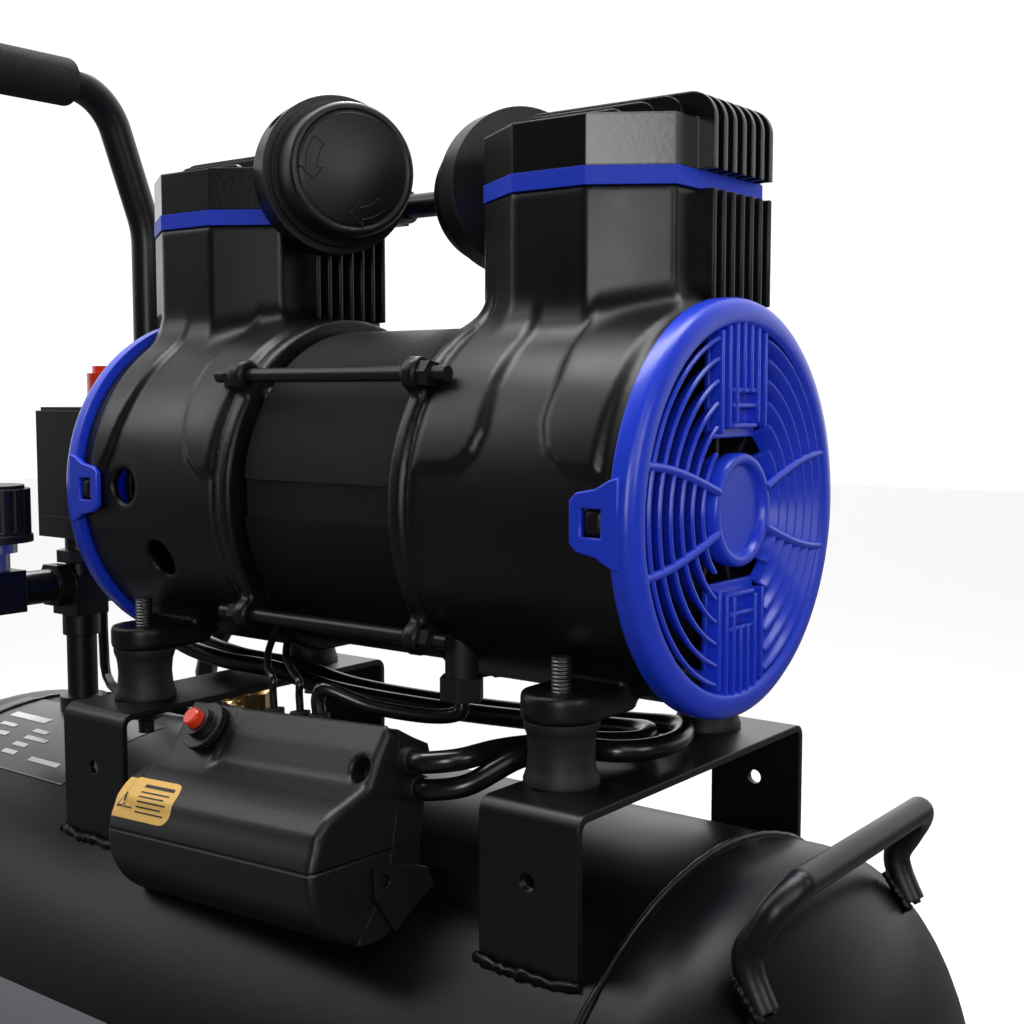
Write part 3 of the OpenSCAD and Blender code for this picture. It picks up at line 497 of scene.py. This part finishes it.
for key, radius in (("frame", 1.2), ("cast", 1.5), ("head", 1.3), ("plastic", 0.8), ("blue", 1.0),
                    ("bluepaint", 0.6), ("steel", 0.5), ("brass", 0.5), ("box", 1.2), ("red", 0.8),
                    ("rubber", 1.0), ("grain", 0.8)):
    round_edges(M[key], radius)


def shade_group(angle):
    g = bpy.data.node_groups.new("shade_by_angle", "GeometryNodeTree")
    g.interface.new_socket("Geometry", in_out="INPUT", socket_type="NodeSocketGeometry")
    g.interface.new_socket("Geometry", in_out="OUTPUT", socket_type="NodeSocketGeometry")
    gi, go = g.nodes.new("NodeGroupInput"), g.nodes.new("NodeGroupOutput")
    f = g.nodes.new("GeometryNodeSetShadeSmooth")
    e = g.nodes.new("GeometryNodeSetShadeSmooth")
    e.domain = "EDGE"
    e.inputs["Shade Smooth"].default_value = False
    a = g.nodes.new("GeometryNodeInputMeshEdgeAngle")
    c = g.nodes.new("FunctionNodeCompare")
    c.operation = "GREATER_THAN"
    c.inputs[1].default_value = math.radians(angle)
    g.links.new(gi.outputs[0], f.inputs["Geometry"])
    g.links.new(f.outputs[0], e.inputs["Geometry"])
    g.links.new(a.outputs["Unsigned Angle"], c.inputs[0])
    g.links.new(c.outputs[0], e.inputs["Selection"])
    g.links.new(e.outputs[0], go.inputs[0])
    return g


SMOOTH = shade_group(28)


def dress(mat, *names):
    for n in names:
        o = NODES[n]
        o.data.materials.clear()
        o.data.materials.append(M[mat])
        w = o.modifiers.new("join", "WELD")
        w.merge_threshold = 0.00001
        s = o.modifiers.new("shade", "NODES")
        s.node_group = SMOOTH


dress("tank", "tank_shell", "tank_ends")
dress("frame", "saddle_bracket_left", "saddle_bracket_right", "carry_handle", "push_handle",
      "wheel_bracket", "foot_bracket", "pipe_nipple", "air_manifold")
dress("foam", "handle_grip")
dress("rubber", "rubber_feet", "rubber_mounts", "cable_glands")
dress("thread", "mount_hardware")
dress("steel", "wheel_axle", "cylinder_sleeves", "pistons", "shaft_bearings",
      "motor_shaft", "relief_ring", "coupler_body")
dress("brass", "drain_valve_body", "check_valve", "relief_valve_body", "coupler_sleeve")
dress("plastic", "drain_knob", "switch_base", "switch_cover", "regulator_knob", "gauge_cases",
      "filter_bases", "filter_cap_left", "filter_cap_right", "cooling_fans")
dress("blue", "fan_cover_left", "fan_cover_right")
dress("bluepaint", "valve_plates")
dress("alu", "regulator_body")
dress("tube", "delivery_tubes")
dress("head", "cylinder_head_left", "cylinder_head_right")
dress("felt", "filter_elements")
dress("lamin", "stator_core", "rotor_core")
dress("copper", "stator_windings")
dress("darksteel", "tie_rods")
dress("alu", "capacitors")
dress("grain", "capacitor_box_base", "button_collar")
dress("red", "reset_button", "switch_knob", "gauge_needle_tank", "gauge_needle_outlet")
dress("tyre", "wheel_front", "wheel_rear")
dress("cable", "wiring")


# ------------------------------------------------------------------ crankcases
CASE_R, CASE_IN, CASE_OUT = 81.0, 48.0, 158.0
TOWER = {1: 94.5, -1: -131.0}
BORE = {1: 94.5, -1: -125.0}
PLAN = [(-18.4, -34.5), (18.4, -34.5), (48.5, -15), (48.5, 57), (-48.5, 57), (-48.5, -15)]
RAISED = {
    1: ([(61, 17), (82, 18.5), (89, 24), (92, 33), (90, 52), (89, 95), (61, 95)],
        [(118, 95), (118, 67), (121.5, 52), (121.5, 37), (125.5, 26), (133, 20), (140, 18.5), (149, 18.5),
         (149, 95)]),
    -1: ([(-61, 11), (-69.5, 11), (-78, 17), (-83.5, 29), (-88, 46), (-90.5, 60), (-91, 95), (-61, 95)],
         [(-149, 8.5), (-141, 9), (-136, 20), (-132, 42), (-130, 60), (-130, 95), (-149, 95)]),
}


def case_shape(s):
    cx, bx = TOWER[s], BORE[s]

    def f(X, Y, Z):
        R = np.hypot(Y, Z)
        ax = X * s
        grow = np.zeros_like(X)
        for poly in RAISED[s]:
            d = sd_poly(X[:, :1, :], Z[:, :1, :], poly)
            lift = np.clip(0.5 - d / 3.0, 0, 1)
            lift = lift * lift * (3 - 2 * lift) * 2.3
            line = 0.7 * np.exp(-((d - 0.6) / 1.1) ** 2)
            grow = grow + (lift + line) * (Y < 0)
        band = np.clip((56.5 - ax) / 1.2, 0, 1) * 1.8 + 0.8 * np.exp(-((ax - 59.6) / 1.0) ** 2)
        body = R - (CASE_R + np.maximum(grow, band))
        t = 3.0
        tower = np.maximum(sd_poly(X[:, :, :1] - cx, Y[:, :, :1], PLAN) + t, 40 - Z) - t
        tower = np.broadcast_to(tower, X.shape)
        low = smin(body, tower, 13.0)
        low = round_pair(low, np.maximum(CASE_IN - ax, ax - CASE_OUT), 1.5)
        low = np.maximum(low, Z - 120)
        high = round_pair(tower, np.maximum(86.5 - Z, Z - 129.8), 0.6)
        d = np.minimum(low, high)
        for a in (39, -39, 141, 219):
            c, n = math.cos(math.radians(a)), math.sin(math.radians(a))
            u, v = -(Y * c + Z * n), -Y * n + Z * c
            ear = sd_box(ax, u, v, (48, 70, -7.2), (56, 90, 7.2), 2.0)
            ear = np.minimum(ear, round_pair(np.hypot(u - 87.2, v) - 7.2, np.maximum(48 - ax, ax - 56), 1.0))
            gus = np.maximum(sd_box(ax, u, v, (54, 74, -7), (66, 92, 7), 1.0), (u - 81) + (ax - 56) * 0.9)
            d = smin(d, np.minimum(ear, gus), 2.0)
        hollow = np.maximum(R - 76, 54 - ax)
        d = np.maximum(d, -hollow)
        bridge = np.maximum(np.abs(ax - 54) - 6, R - 27)
        d = np.minimum(d, bridge)
        for a in (39, -39, 141, 219):
            c, n = math.cos(math.radians(a)), math.sin(math.radians(a))
            u, v = -(Y * c + Z * n), -Y * n + Z * c
            d = np.maximum(d, -np.maximum(np.hypot(u - 87.2, v) - 3.4, ax - 62))
            d = np.minimum(d, np.maximum(np.hypot(u - 71, v) - 4, np.maximum(44.2 - ax, ax - 50)))
        d = np.maximum(d, -np.maximum(R - 20.2, ax - 66))
        d = np.maximum(d, -np.maximum(np.hypot(X - bx, Y - 8) - 31.1, 40 - Z))
        for q in (1, -1):
            hook = sd_box(ax, Y * q, Z, (146, 78, -5), (154, 84, 5), 0.8)
            d = np.minimum(d, hook)
        if s < 0:
            for hx, hz, hr in ((-125.5, 2, 8.5), (-106.5, -32, 8.5)):
                hole = np.maximum(np.hypot(X - hx, Z - hz) - hr, Y + 58)
                d = smax(d, -hole, 1.5)
        for z in range(-30, 31, 15):
            d = np.maximum(d, -sd_box(ax, Y, Z, (61, 60, z - 3), (79, 95, z + 3), 1.5))
        # lobed feet, swept up into the barrel
        for y, y1 in ((-69, -40), (45, 26)):
            lobe = np.hypot(ax - 126.5, Y - y) - 16
            arm = sd_box(ax, Y, Z, (110.5, min(y, y1), -90), (142.5, max(y, y1), -55), 0.5)
            pad = round_pair(np.minimum(lobe, arm), np.maximum(-78 - Z, Z + 67), 1.8)
            d = smin(d, np.maximum(pad, 75 - R), 7.0)
            d = np.maximum(d, -78 - Z)
            d = np.maximum(d, np.where(Z > -62, -99, 4.1 - np.hypot(ax - 126.5, Y - y)))
        return d
    return f


for s, name in ((1, "right"), (-1, "left")):
    lo = (42.0 if s > 0 else -183.0, -96.0, -82.0)
    hi = (164.0 if s > 0 else -42.0, 96.0, 134.0)
    case = sdf_object("crankcase_" + name + "_body", case_shape(s), lo, hi, 1.45, matrix=pump_matrix(),
                      mat="cast", slot="crankcase_paint")
    fins = []
    for i in range(7):
        y = 2 + 8 * i
        x0 = TOWER[s] + 47.5
        fins.append(((x0, y, 84), (x0 + 9, y + 2.5, 129.8)))
    fp = boxes("crankcase_" + name + "_fins", fins, 0.7, "cast", "crankcase_paint", matrix=pump_matrix())
    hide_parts("crankcase_" + name)
    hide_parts("crankcase_" + name)


# ------------------------------------------------------------------ fan covers
def cover(s, name):
    m = pump_matrix()

    def X(v):
        return v * s

    rim = [(85, 158), (85, 163.5), (84.2, 165.6), (82, 167.2), (78, 168), (75.2, 167.4), (74, 166),
           (74, 158)]
    revolve("fan_cover_" + name + "_rim", [(r, X(x)) for r, x in rim], 144, m, "blue", "blue_plastic")
    hub = [(0, 160.5), (23, 160.5), (23, 166), (22.3, 167.2), (20.6, 167.6), (19.2, 167.2), (18.4, 166),
           (18, 164.6), (0, 164.4)]
    revolve("fan_cover_" + name + "_hub", [(r, X(x)) for r, x in hub], 72, m, "blue", "blue_plastic")
    # tilted ring blades, each between the vertical panels and the spokes
    k = 0
    for r in (29.5, 37.5, 45.5, 53.5, 61.5, 69.0):
        prof = [(r - 1.0, 159.5), (r + 3.2, 166.2), (r + 2.6, 167.2), (r + 1.6, 167.0), (r - 2.6, 160.0)]
        gap = math.degrees(math.asin(min(1.0, 20.0 / r)))
        for mid in (0.0, 180.0):
            k += 1
            revolve("fan_cover_%s_blade_%02d" % (name, k), [(q, X(x)) for q, x in prof], 60, m, "blue",
                    "blue_plastic", a0=mid - 90 + gap, a1=mid + 90 - gap)
    # spoke pairs, bowed outwards
    for q in (1, -1):
        for e in (1, -1):
            k += 1
            pts = []
            for t in np.linspace(0, 1, 13):
                y = 20 + 58 * t
                z = e * (8.2 + 12.5 * math.sin(t * math.pi * 0.5))
                pts.append((X(166.4 - 0.8 * t), q * y, z))
            tube("fan_cover_%s_spoke_%02d" % (name, k), pts, 1.9, "blue", "blue_plastic", sides=12, steps=4,
                 matrix=m)
    # ribbed panels above and below the hub
    slabs = []
    for q in (1, -1):
        for y0, z0, z1 in ((-20, 31, 70), (-14, 33, 72), (-8, 35, 73), (-2, 47, 74), (4, 47, 73),
                           (10, 35, 72), (16, 33, 70)):
            za, zb = sorted((q * z0, q * (z1 + 1.5)))
            slabs.append(((min(X(160), X(167.3)), y0 + 1.2, za), (max(X(160), X(167.3)), y0 + 3.0, zb)))
        za, zb = sorted((q * 29, q * 75.5))
        slabs.append(((min(X(159), X(161.2)), -19, za), (max(X(159), X(161.2)), 19.5, zb)))
        for z0 in (33, 41, 47):
            za, zb = sorted((q * z0, q * (z0 + 2)))
            slabs.append(((min(X(160), X(166.4)), -8, za), (max(X(160), X(166.4)), 12, zb)))
    boxes("fan_cover_" + name + "_panels", slabs, 0.5, "blue", "blue_plastic", matrix=m)
    # side clips: a tapered tongue with a square window
    for q in (1, -1):
        frame_pts = [(162, -17), (158, -16), (152, -12.6), (143.5, -11), (140.5, -8), (140.5, 8), (143.5, 11),
                     (152, 12.6), (158, 16), (162, 17)]
        win = [(154.4, -5.3), (145.6, -5.3), (145.6, 5.3), (154.4, 5.3)]
        clip("fan_cover_%s_clip_%s" % (name, "a" if q > 0 else "b"), frame_pts, win, q, s, m)


def clip(name, outer, inner, q, s, m):
    """A plate with a window, standing on the side of the cover between two depths."""
    bm = bmesh.new()
    rows = []
    for y in (81.9, 85.0):
        rows.append([[bm.verts.new((x * s * MM, q * y * MM, z * MM)) for x, z in ring]
                     for ring in (outer, inner)])
    n, k = len(outer), len(inner)
    near = [min(range(k), key=lambda j: (outer[i][0] - inner[j][0]) ** 2 + (outer[i][1] - inner[j][1]) ** 2)
            for i in range(n)]
    for lo_hi in (0, 1):
        o, w = rows[lo_hi]
        for i in range(n):
            j = (i + 1) % n
            bm.faces.new([o[i], o[j], w[near[i]]])
            if near[i] != near[j]:
                bm.faces.new([o[j], w[near[j]], w[near[i]]])
    for ring, c in ((0, n), (1, k)):
        a, b = rows[0][ring], rows[1][ring]
        for i in range(c):
            j = (i + 1) % c
            bm.faces.new([a[i], a[j], b[j], b[i]])
    bmesh.ops.recalc_face_normals(bm, faces=bm.faces)
    me = bpy.data.meshes.new(name)
    bm.to_mesh(me)
    bm.free()
    o = bpy.data.objects.new(name, me)
    scene.collection.objects.link(o)
    o.matrix_world = m
    bevel(o, 0.6)
    finish_piece(o, "blue", "blue_plastic")


scene = bpy.context.scene
cover(1, "right")
cover(-1, "left")
for s, name in ((1, "right"), (-1, "left")):
    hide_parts("fan_cover_" + name)


# ------------------------------------------------------------------ filter caps and grip
def filter_matrix(s):
    at = (46.0, 24.0, 141.0) if s > 0 else (-82.5, 13.0, 154.0)
    return pump_matrix(at) @ Matrix.Rotation(math.radians(155 if s > 0 else -25), 4, "Z")


def arrow(name, tail, wing, tip, m, body):
    """A curved arrow's outline, raised on the cap's face."""
    def at(r, a):
        return (46.4, r * math.cos(math.radians(a)), r * math.sin(math.radians(a)))
    out = [at(24.3, a) for a in np.linspace(tail, wing, 8)] + [at(27.0, wing)] * 2 + [at(21.3, tip)] * 2
    out += [at(15.8, wing)] * 2 + [at(18.5, a) for a in np.linspace(wing, tail, 8)]
    tube(name, out, 0.36, "grain", "black_plastic", body, sides=8, steps=3, matrix=m, cyclic=True)


for s, name in ((1, "right"), (-1, "left")):
    m = filter_matrix(s)
    face = [(0, 46.4), (26.0, 46.4), (26.7, 46.1), (27.2, 45.7), (27.8, 45.8), (28.4, 46.4), (29.3, 46.6),
            (30.5, 46.3), (31.5, 45.4), (32, 43.9), (32, 28.8), (28.5, 28.8), (28.5, 42), (0, 42)]
    revolve("filter_cap_%s_shell" % name, face, 120, m, "grain", "black_plastic", name + "_filter_cap",
            ("filter_cap_" + name,))
    arrow("filter_cap_%s_arrow_a" % name, 145, 181, 196, m, name + "_filter_cap")
    arrow("filter_cap_%s_arrow_b" % name, -47, -81, -96, m, name + "_filter_cap")

grip = [(10.1, -50), (13.2, -50), (14.3, -49.5), (14.7, -48.4), (14.7, 48.4), (14.3, 49.5), (13.2, 50),
        (10.1, 50)]
across = Matrix.Translation(Vector((-266, 0, 788)) * MM) @ Matrix.Rotation(math.pi / 2, 4, "Z")
revolve("handle_grip_foam", grip, 64, across, "foam", "foam", replaces=("handle_grip",))


# ------------------------------------------------------------------ capacitor cover
BOX = (Matrix.Translation(Vector((57.5, 12, 548)) * MM) @ Matrix.Rotation(math.radians(-4.8), 4, "Z")
       @ Matrix.Rotation(math.radians(-4.4), 4, "Y"))
EDGE = [(-92, -90), (-99, -100), (-105.5, -111.9), (-114, -118), (-125.7, -121.9), (-130, -126),
        (-108.5, -144.2), (-88, -150), (-82, -110), (-86, -96)]
RAISE = [(-92, -90), (-113, -116), (-112, -150), (-88, -140), (-86, -95)]


def box_shape(X, Y, Z):
    barrel = np.hypot(Y + 108.5, Z + 144.2) - 28.8
    flat = sd_poly(Y[:1], Z[:1], EDGE)
    high = sd_poly(Y[:1], Z[:1], RAISE)
    # the raised left panel, which carries the button
    slant = X + 28
    body = smin(barrel, np.broadcast_to(flat, X.shape), 7.0)
    body = smin(body, smax(np.broadcast_to(high, X.shape), slant, 2.5), 2.5)
    d = round_pair(body, np.abs(X) - 70, 3.0)
    end = smin(barrel, smax(np.broadcast_to(high, X.shape), -62 - X, 4.0), 6.0)
    d = np.maximum(d, np.where(X < -62, end, -99))
    # screw recess: a slanted round pocket in the upper slope
    off = np.sqrt((X - 62) ** 2 + ((Y + 105) * 0.5 + (Z + 105) * 0.866) ** 2)
    d = smax(d, np.where(Y < -94, 5.2 - off, -99), 1.2)
    wall = np.maximum(np.hypot(Y + 108.5, Z + 144.2) - 26.3, np.abs(X) - 67.5)
    d = np.maximum(d, -wall)
    # the back half belongs to the base
    d = np.maximum(d, (Y + 88) * 0.97 - (Z + 112) * 0.1 - 2)
    d = np.maximum(d, -(Z + 172.5))
    return d


def tank_cut(shape, matrix):
    inv = np.array(matrix)

    def f(X, Y, Z):
        d = shape(X, Y, Z)
        wy = inv[1][0] * X + inv[1][1] * Y + inv[1][2] * Z + inv[1][3] * 1000
        wz = inv[2][0] * X + inv[2][1] * Y + inv[2][2] * Z + inv[2][3] * 1000
        return np.maximum(d, 162.9 - np.hypot(wy, wz - 250))
    return f


cap = sdf_object("capacitor_cover_shell", tank_cut(box_shape, BOX), (-74, -141, -178), (74, -78, -84), 1.15,
                 matrix=BOX, mat="box", slot="black_plastic", replaces=("capacitor_box_cover",))


# ------------------------------------------------------------------ leads, cables and the carrying handle
LEADS = {
    "lead_a": ([(16.5, -29.5, 501), (16.5, -40, 490), (20, -52, 477), (29, -61, 471), (37.7, -66.3, 468),
                (38.06, -66.56, 461.8), (38.58, -66.6, 455.1)], 1.7),
    "lead_b": ([(16.5, -24.5, 497.5), (16.5, -33, 487), (25, -46, 476), (40, -57, 471), (55.9, -67.9, 469.5),
                (56.36, -68.15, 463.2), (56.88, -68.2, 456.5)], 1.7),
    "lead_c": ([(126, -41, 465.7), (125, -42, 460), (112, -47, 458), (90, -58, 461), (73, -68, 468),
                (69.3, -69.25, 464.2), (69.78, -69.3, 457.5)], 3.2),
    "cable_a": ([(134.3, -80.2, 449.12), (140.2, -80.7, 449.6), (151, -73, 451), (156, -56, 452),
                 (162, -42, 452),
                 (174, -28, 452.5), (190, -20, 453), (196, -10, 453), (190, 4, 453), (170, 12, 450),
                 (120, 14, 446), (60, 12, 444), (0, 10, 445), (-40, 9, 450.5), (-84, 8, 451.5),
                 (-120, 8, 458), (-142, 8, 474), (-150, 8, 492), (-150, 8, 503.7)], 4.5),
    "cable_b": ([(135.1, -77.8, 437.72), (141, -78.3, 438.2), (154, -71, 441), (165, -55, 449.5),
                 (171, -43, 451),
                 (182, -35, 452.5), (198, -31, 453), (207, -18, 453), (207, 2, 453), (196, 20, 453),
                 (170, 26, 450), (120, 27, 446), (60, 26, 444), (0, 24, 445), (-40, 23, 450.5),
                 (-84, 22, 451.5), (-120, 22, 458), (-142, 22, 474), (-150, 22, 492),
                 (-150, 22, 503.7)], 4.5),
}
for n, (pts, r) in LEADS.items():
    o = tube(n, pts, r, sides=20)
    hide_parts("wiring")

# carrying handle as one smooth bent rod
half = [(282, -67, 382), (276.5, -67, 393.5), (275.4, -67, 401.5), (280, -67, 410), (285, -65, 418.5),
        (288.4, -56, 424.6), (289, -42, 425.3)]
tube("carry_handle_rod", half + [(x, -y, z) for x, y, z in reversed(half)], 5.5, "frame", "frame_paint",
     steps=10, sides=28, replaces=("carry_handle",))


# ------------------------------------------------------------------ weld beads
def weld(name, pts, r=1.5, seed=3):
    return tube(name, pts, r, "tank", "tank_paint", sides=10, steps=6, jitter=0.3, seed=seed)


def tank_at(y, lift=0.0):
    return 250 + math.sqrt((162 + lift) ** 2 - y * y)


for k, x0 in enumerate((-82, 176)):
    for q in (-92, 88):
        z = tank_at(q)
        out = math.copysign(1, q)
        weld("bracket_weld_%d_%d" % (k, q > 0),
             [(x0 - 2, q, z), (x0 + 12, q + 1.5 * out, z - 1.5), (x0 + 24, q + 1.5 * out, z - 1),
              (x0 + 36, q + 1.2 * out, z - 1.8), (x0 + 47, q, z)], 2.3, seed=k * 3 + (q > 0))
turn = np.linspace(0, 2 * math.pi, 72, endpoint=False)
for s, name, seed in ((1, "right", 8), (-1, "left", 9)):
    ring = [(229 * s, 162.2 * math.sin(a), 250 + 162.2 * math.cos(a)) for a in turn]
    tube("girth_weld_" + name, ring, 1.6, "tank", "tank_paint", sides=8, steps=4, jitter=0.18, seed=seed,
         cyclic=True)
for q in (-1, 1):
    for e in (-1, 1):
        weld("handle_weld_%d_%d" % (q > 0, e > 0),
             [(x, q * 67 + e * w, z) for x, w, z in ((283, 4.6, 379.5), (279.5, 5.4, 384.5),
                                                     (275.5, 5.2, 389.5), (272, 4.6, 393.5))],
             1.8, seed=20 + q + 3 * e)

# ------------------------------------------------------------------ labels
COVER = BVHTree.FromPolygons([v.co.copy() for v in cap.data.vertices],
                             [p.vertices[:] for p in cap.data.polygons])


MM_PER_DEGREE = 0.505


def on_box(x, a, lift=0.0):
    """A point on the cover's skin at length x and angle a about the barrel, in the box frame."""
    out = Vector((0, -math.cos(math.radians(a)), math.sin(math.radians(a))))
    axis = Vector((x, -108.5, -144.2))
    hit = COVER.ray_cast((axis + out * 60) * MM, -out)[0]
    return hit / MM + out * lift


def barrel_patch(name, x0, x1, a0, a1, mat, lift=0.0, corner=0.0, n=14):
    V, F = [], []
    for i in range(n + 1):
        for j in range(n + 1):
            u, v = i / n, j / n
            a = a0 + (a1 - a0) * v
            near = max(0.0, corner - min(v, 1 - v) * (a1 - a0) * MM_PER_DEGREE)
            x = x0 + (x1 - corner + math.sqrt(max(0.0, corner ** 2 - near ** 2)) - x0) * u
            V.append(on_box(x, a, lift) * MM)
    for i in range(n):
        for j in range(n):
            k = i * (n + 1) + j
            F.append((k, k + 1, k + n + 2, k + n + 1))
    o = mesh_object(name, V, F, BOX)
    return finish_piece(o, mat, "black_plastic", smooth=80)


barrel_patch("warning_label", -69, -25, 21, 59, "yellow", 0.15, 6.5, 40)
barrel_patch("warning_bar_0", -51, -29, 49.5, 52.5, "ink", 0.3)
for k in range(5):
    a0 = 44.5 - k * 4.2
    barrel_patch("warning_bar_%d" % (k + 1), -51, -30 - (k % 2) * 2.5, a0, a0 + 1.2, "ink", 0.3)


def tri(name, x, a, size, mat, lift):
    V = []
    for t in (90, 210, 330):
        t = math.radians(t)
        V.append(on_box(x + size * math.cos(t), a + size * math.sin(t) / MM_PER_DEGREE, lift) * MM)
    o = mesh_object(name, V, [(0, 1, 2)], BOX)
    return finish_piece(o, mat, "black_plastic", smooth=80)


tri("warning_sign", -60, 37, 7.0, "ink", 0.3)
tri("warning_sign_inner", -60, 37, 5.2, "yellow", 0.45)
barrel_patch("warning_mark", -60.5, -59.5, 35, 42.5, "ink", 0.55)
barrel_patch("warning_dot", -60.5, -59.5, 31.5, 33.3, "ink", 0.55)


def tank_patch(name, x0, x1, a0, a1, mat, lift=0.4, n=10):
    V, F = [], []
    for i in range(2):
        for j in range(n + 1):
            a = math.radians(a0 + (a1 - a0) * j / n)
            x = x0 + (x1 - x0) * i
            r = 162 + lift
            V.append((x * MM, -r * math.cos(a) * MM, (250 + r * math.sin(a)) * MM))
    for j in range(n):
        F.append((j, j + 1, n + 2 + j, n + 1 + j))
    o = mesh_object(name, V, F)
    return finish_piece(o, mat, "tank_paint", smooth=80)


tank_patch("rating_plate", -240, -113, 63.5, 88, "plate", 0.3)
tank_patch("rating_edge", -240, -113, 63.2, 63.5, "greylabel", 0.3)
RATING_BARS = [(-219, -185, 78), (-214, -200, 74.5), (-183, -170, 74.5), (-181, -161, 72), (-182, -170, 69.5),
               (-182, -170, 67), (-156, -130, 66.6), (-205, -196, 71.5)]
for k, (x0, x1, a0) in enumerate(RATING_BARS):
    tank_patch("rating_bar_%d" % k, x0, x1, a0, a0 + (2.0 if k == 0 else 1.2), "print", 0.5)
tank_patch("side_sticker", -160, 14, 12, 29.4, "greylabel", 0.3)


# ------------------------------------------------------------------ camera, light and floor
floor = mesh_object("floor", [(-8, -8, 0), (8, -8, 0), (8, 8, 0), (-8, 8, 0)], [(0, 1, 2, 3)])
floor_paint = principled("floor", (0.9, 0.9, 0.9), 0.7, spec=0.2)
floor_nodes = floor_paint.node_tree
path = floor_nodes.nodes.new("ShaderNodeLightPath")
shade = floor_nodes.nodes.new("ShaderNodeMapRange")
shade.inputs["To Min"].default_value = 0.08
shade.inputs["To Max"].default_value = 0.9
floor_nodes.links.new(path.outputs["Is Camera Ray"], shade.inputs["Value"])
floor_nodes.links.new(shade.outputs["Result"], floor_nodes.nodes["Principled BSDF"].inputs["Base Color"])
floor.data.materials.append(floor_paint)
floor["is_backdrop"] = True

cam_data = bpy.data.cameras.new("camera")
cam = bpy.data.objects.new("camera", cam_data)
scene.collection.objects.link(cam)
cam.location = (0.49509, -0.48962, 0.59534)
cam.rotation_euler = (math.radians(90 - 4.91), 0, math.radians(37.35))
cam_data.lens = 49.05
cam_data.sensor_width = 36
cam_data.clip_start = 0.01
scene.camera = cam

world = bpy.data.worlds.new("world")
world.use_nodes = True
scene.view_settings.view_transform = "Standard"
wt = world.node_tree
bg = wt.nodes["Background"]
bg.inputs["Color"].default_value = (1, 1, 1, 1)
wco = wt.nodes.new("ShaderNodeTexCoord")
dot = wt.nodes.new("ShaderNodeVectorMath")
dot.operation = "DOT_PRODUCT"
dot.inputs[1].default_value = (-0.604, 0.792, 0.05)
ramp = wt.nodes.new("ShaderNodeMapRange")
ramp.interpolation_type = "SMOOTHSTEP"
ramp.inputs["From Min"].default_value = -0.25
ramp.inputs["From Max"].default_value = 0.75
ramp.inputs["To Min"].default_value = 0.03
ramp.inputs["To Max"].default_value = 1.15
wt.links.new(wco.outputs["Generated"], dot.inputs[0])
wt.links.new(dot.outputs["Value"], ramp.inputs["Value"])
wt.links.new(ramp.outputs["Result"], bg.inputs["Strength"])
scene.world = world


def area(name, loc, target, size, power, size_y=None):
    d = bpy.data.lights.new(name, "AREA")
    d.shape = "RECTANGLE"
    d.size = size
    d.size_y = size_y or size
    d.energy = power
    o = bpy.data.objects.new(name, d)
    o.location = loc
    o.rotation_euler = (Vector(target) - Vector(loc)).to_track_quat("-Z", "Y").to_euler()
    scene.collection.objects.link(o)


area("key", (1.5, -0.9, 1.5), (0.15, 0, 0.5), 0.8, 4, 1.2)
area("top", (0.0, 0.1, 1.9), (0.05, 0, 0.4), 1.6, 20, 0.5)
area("right", (1.5, -0.14, 0.96), (0.0, 0, 0.7), 0.5, 3, 0.5)
area("side", (0.98, -1.44, 0.86), (0.157, 0, 0.66), 0.4, 7, 0.7)
area("front_left", (-0.95, -0.62, 1.4), (0.1, -0.1, 0.48), 0.5, 3, 0.7)

sun = bpy.data.lights.new("back_sun", "SUN")
sun.energy = 2.2
sun.angle = math.radians(12)
sun_object = bpy.data.objects.new("back_sun", sun)
sun_object.rotation_euler = Vector((0.55, -0.75, -1.0)).to_track_quat("-Z", "Y").to_euler()
scene.collection.objects.link(sun_object)

lo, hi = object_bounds()
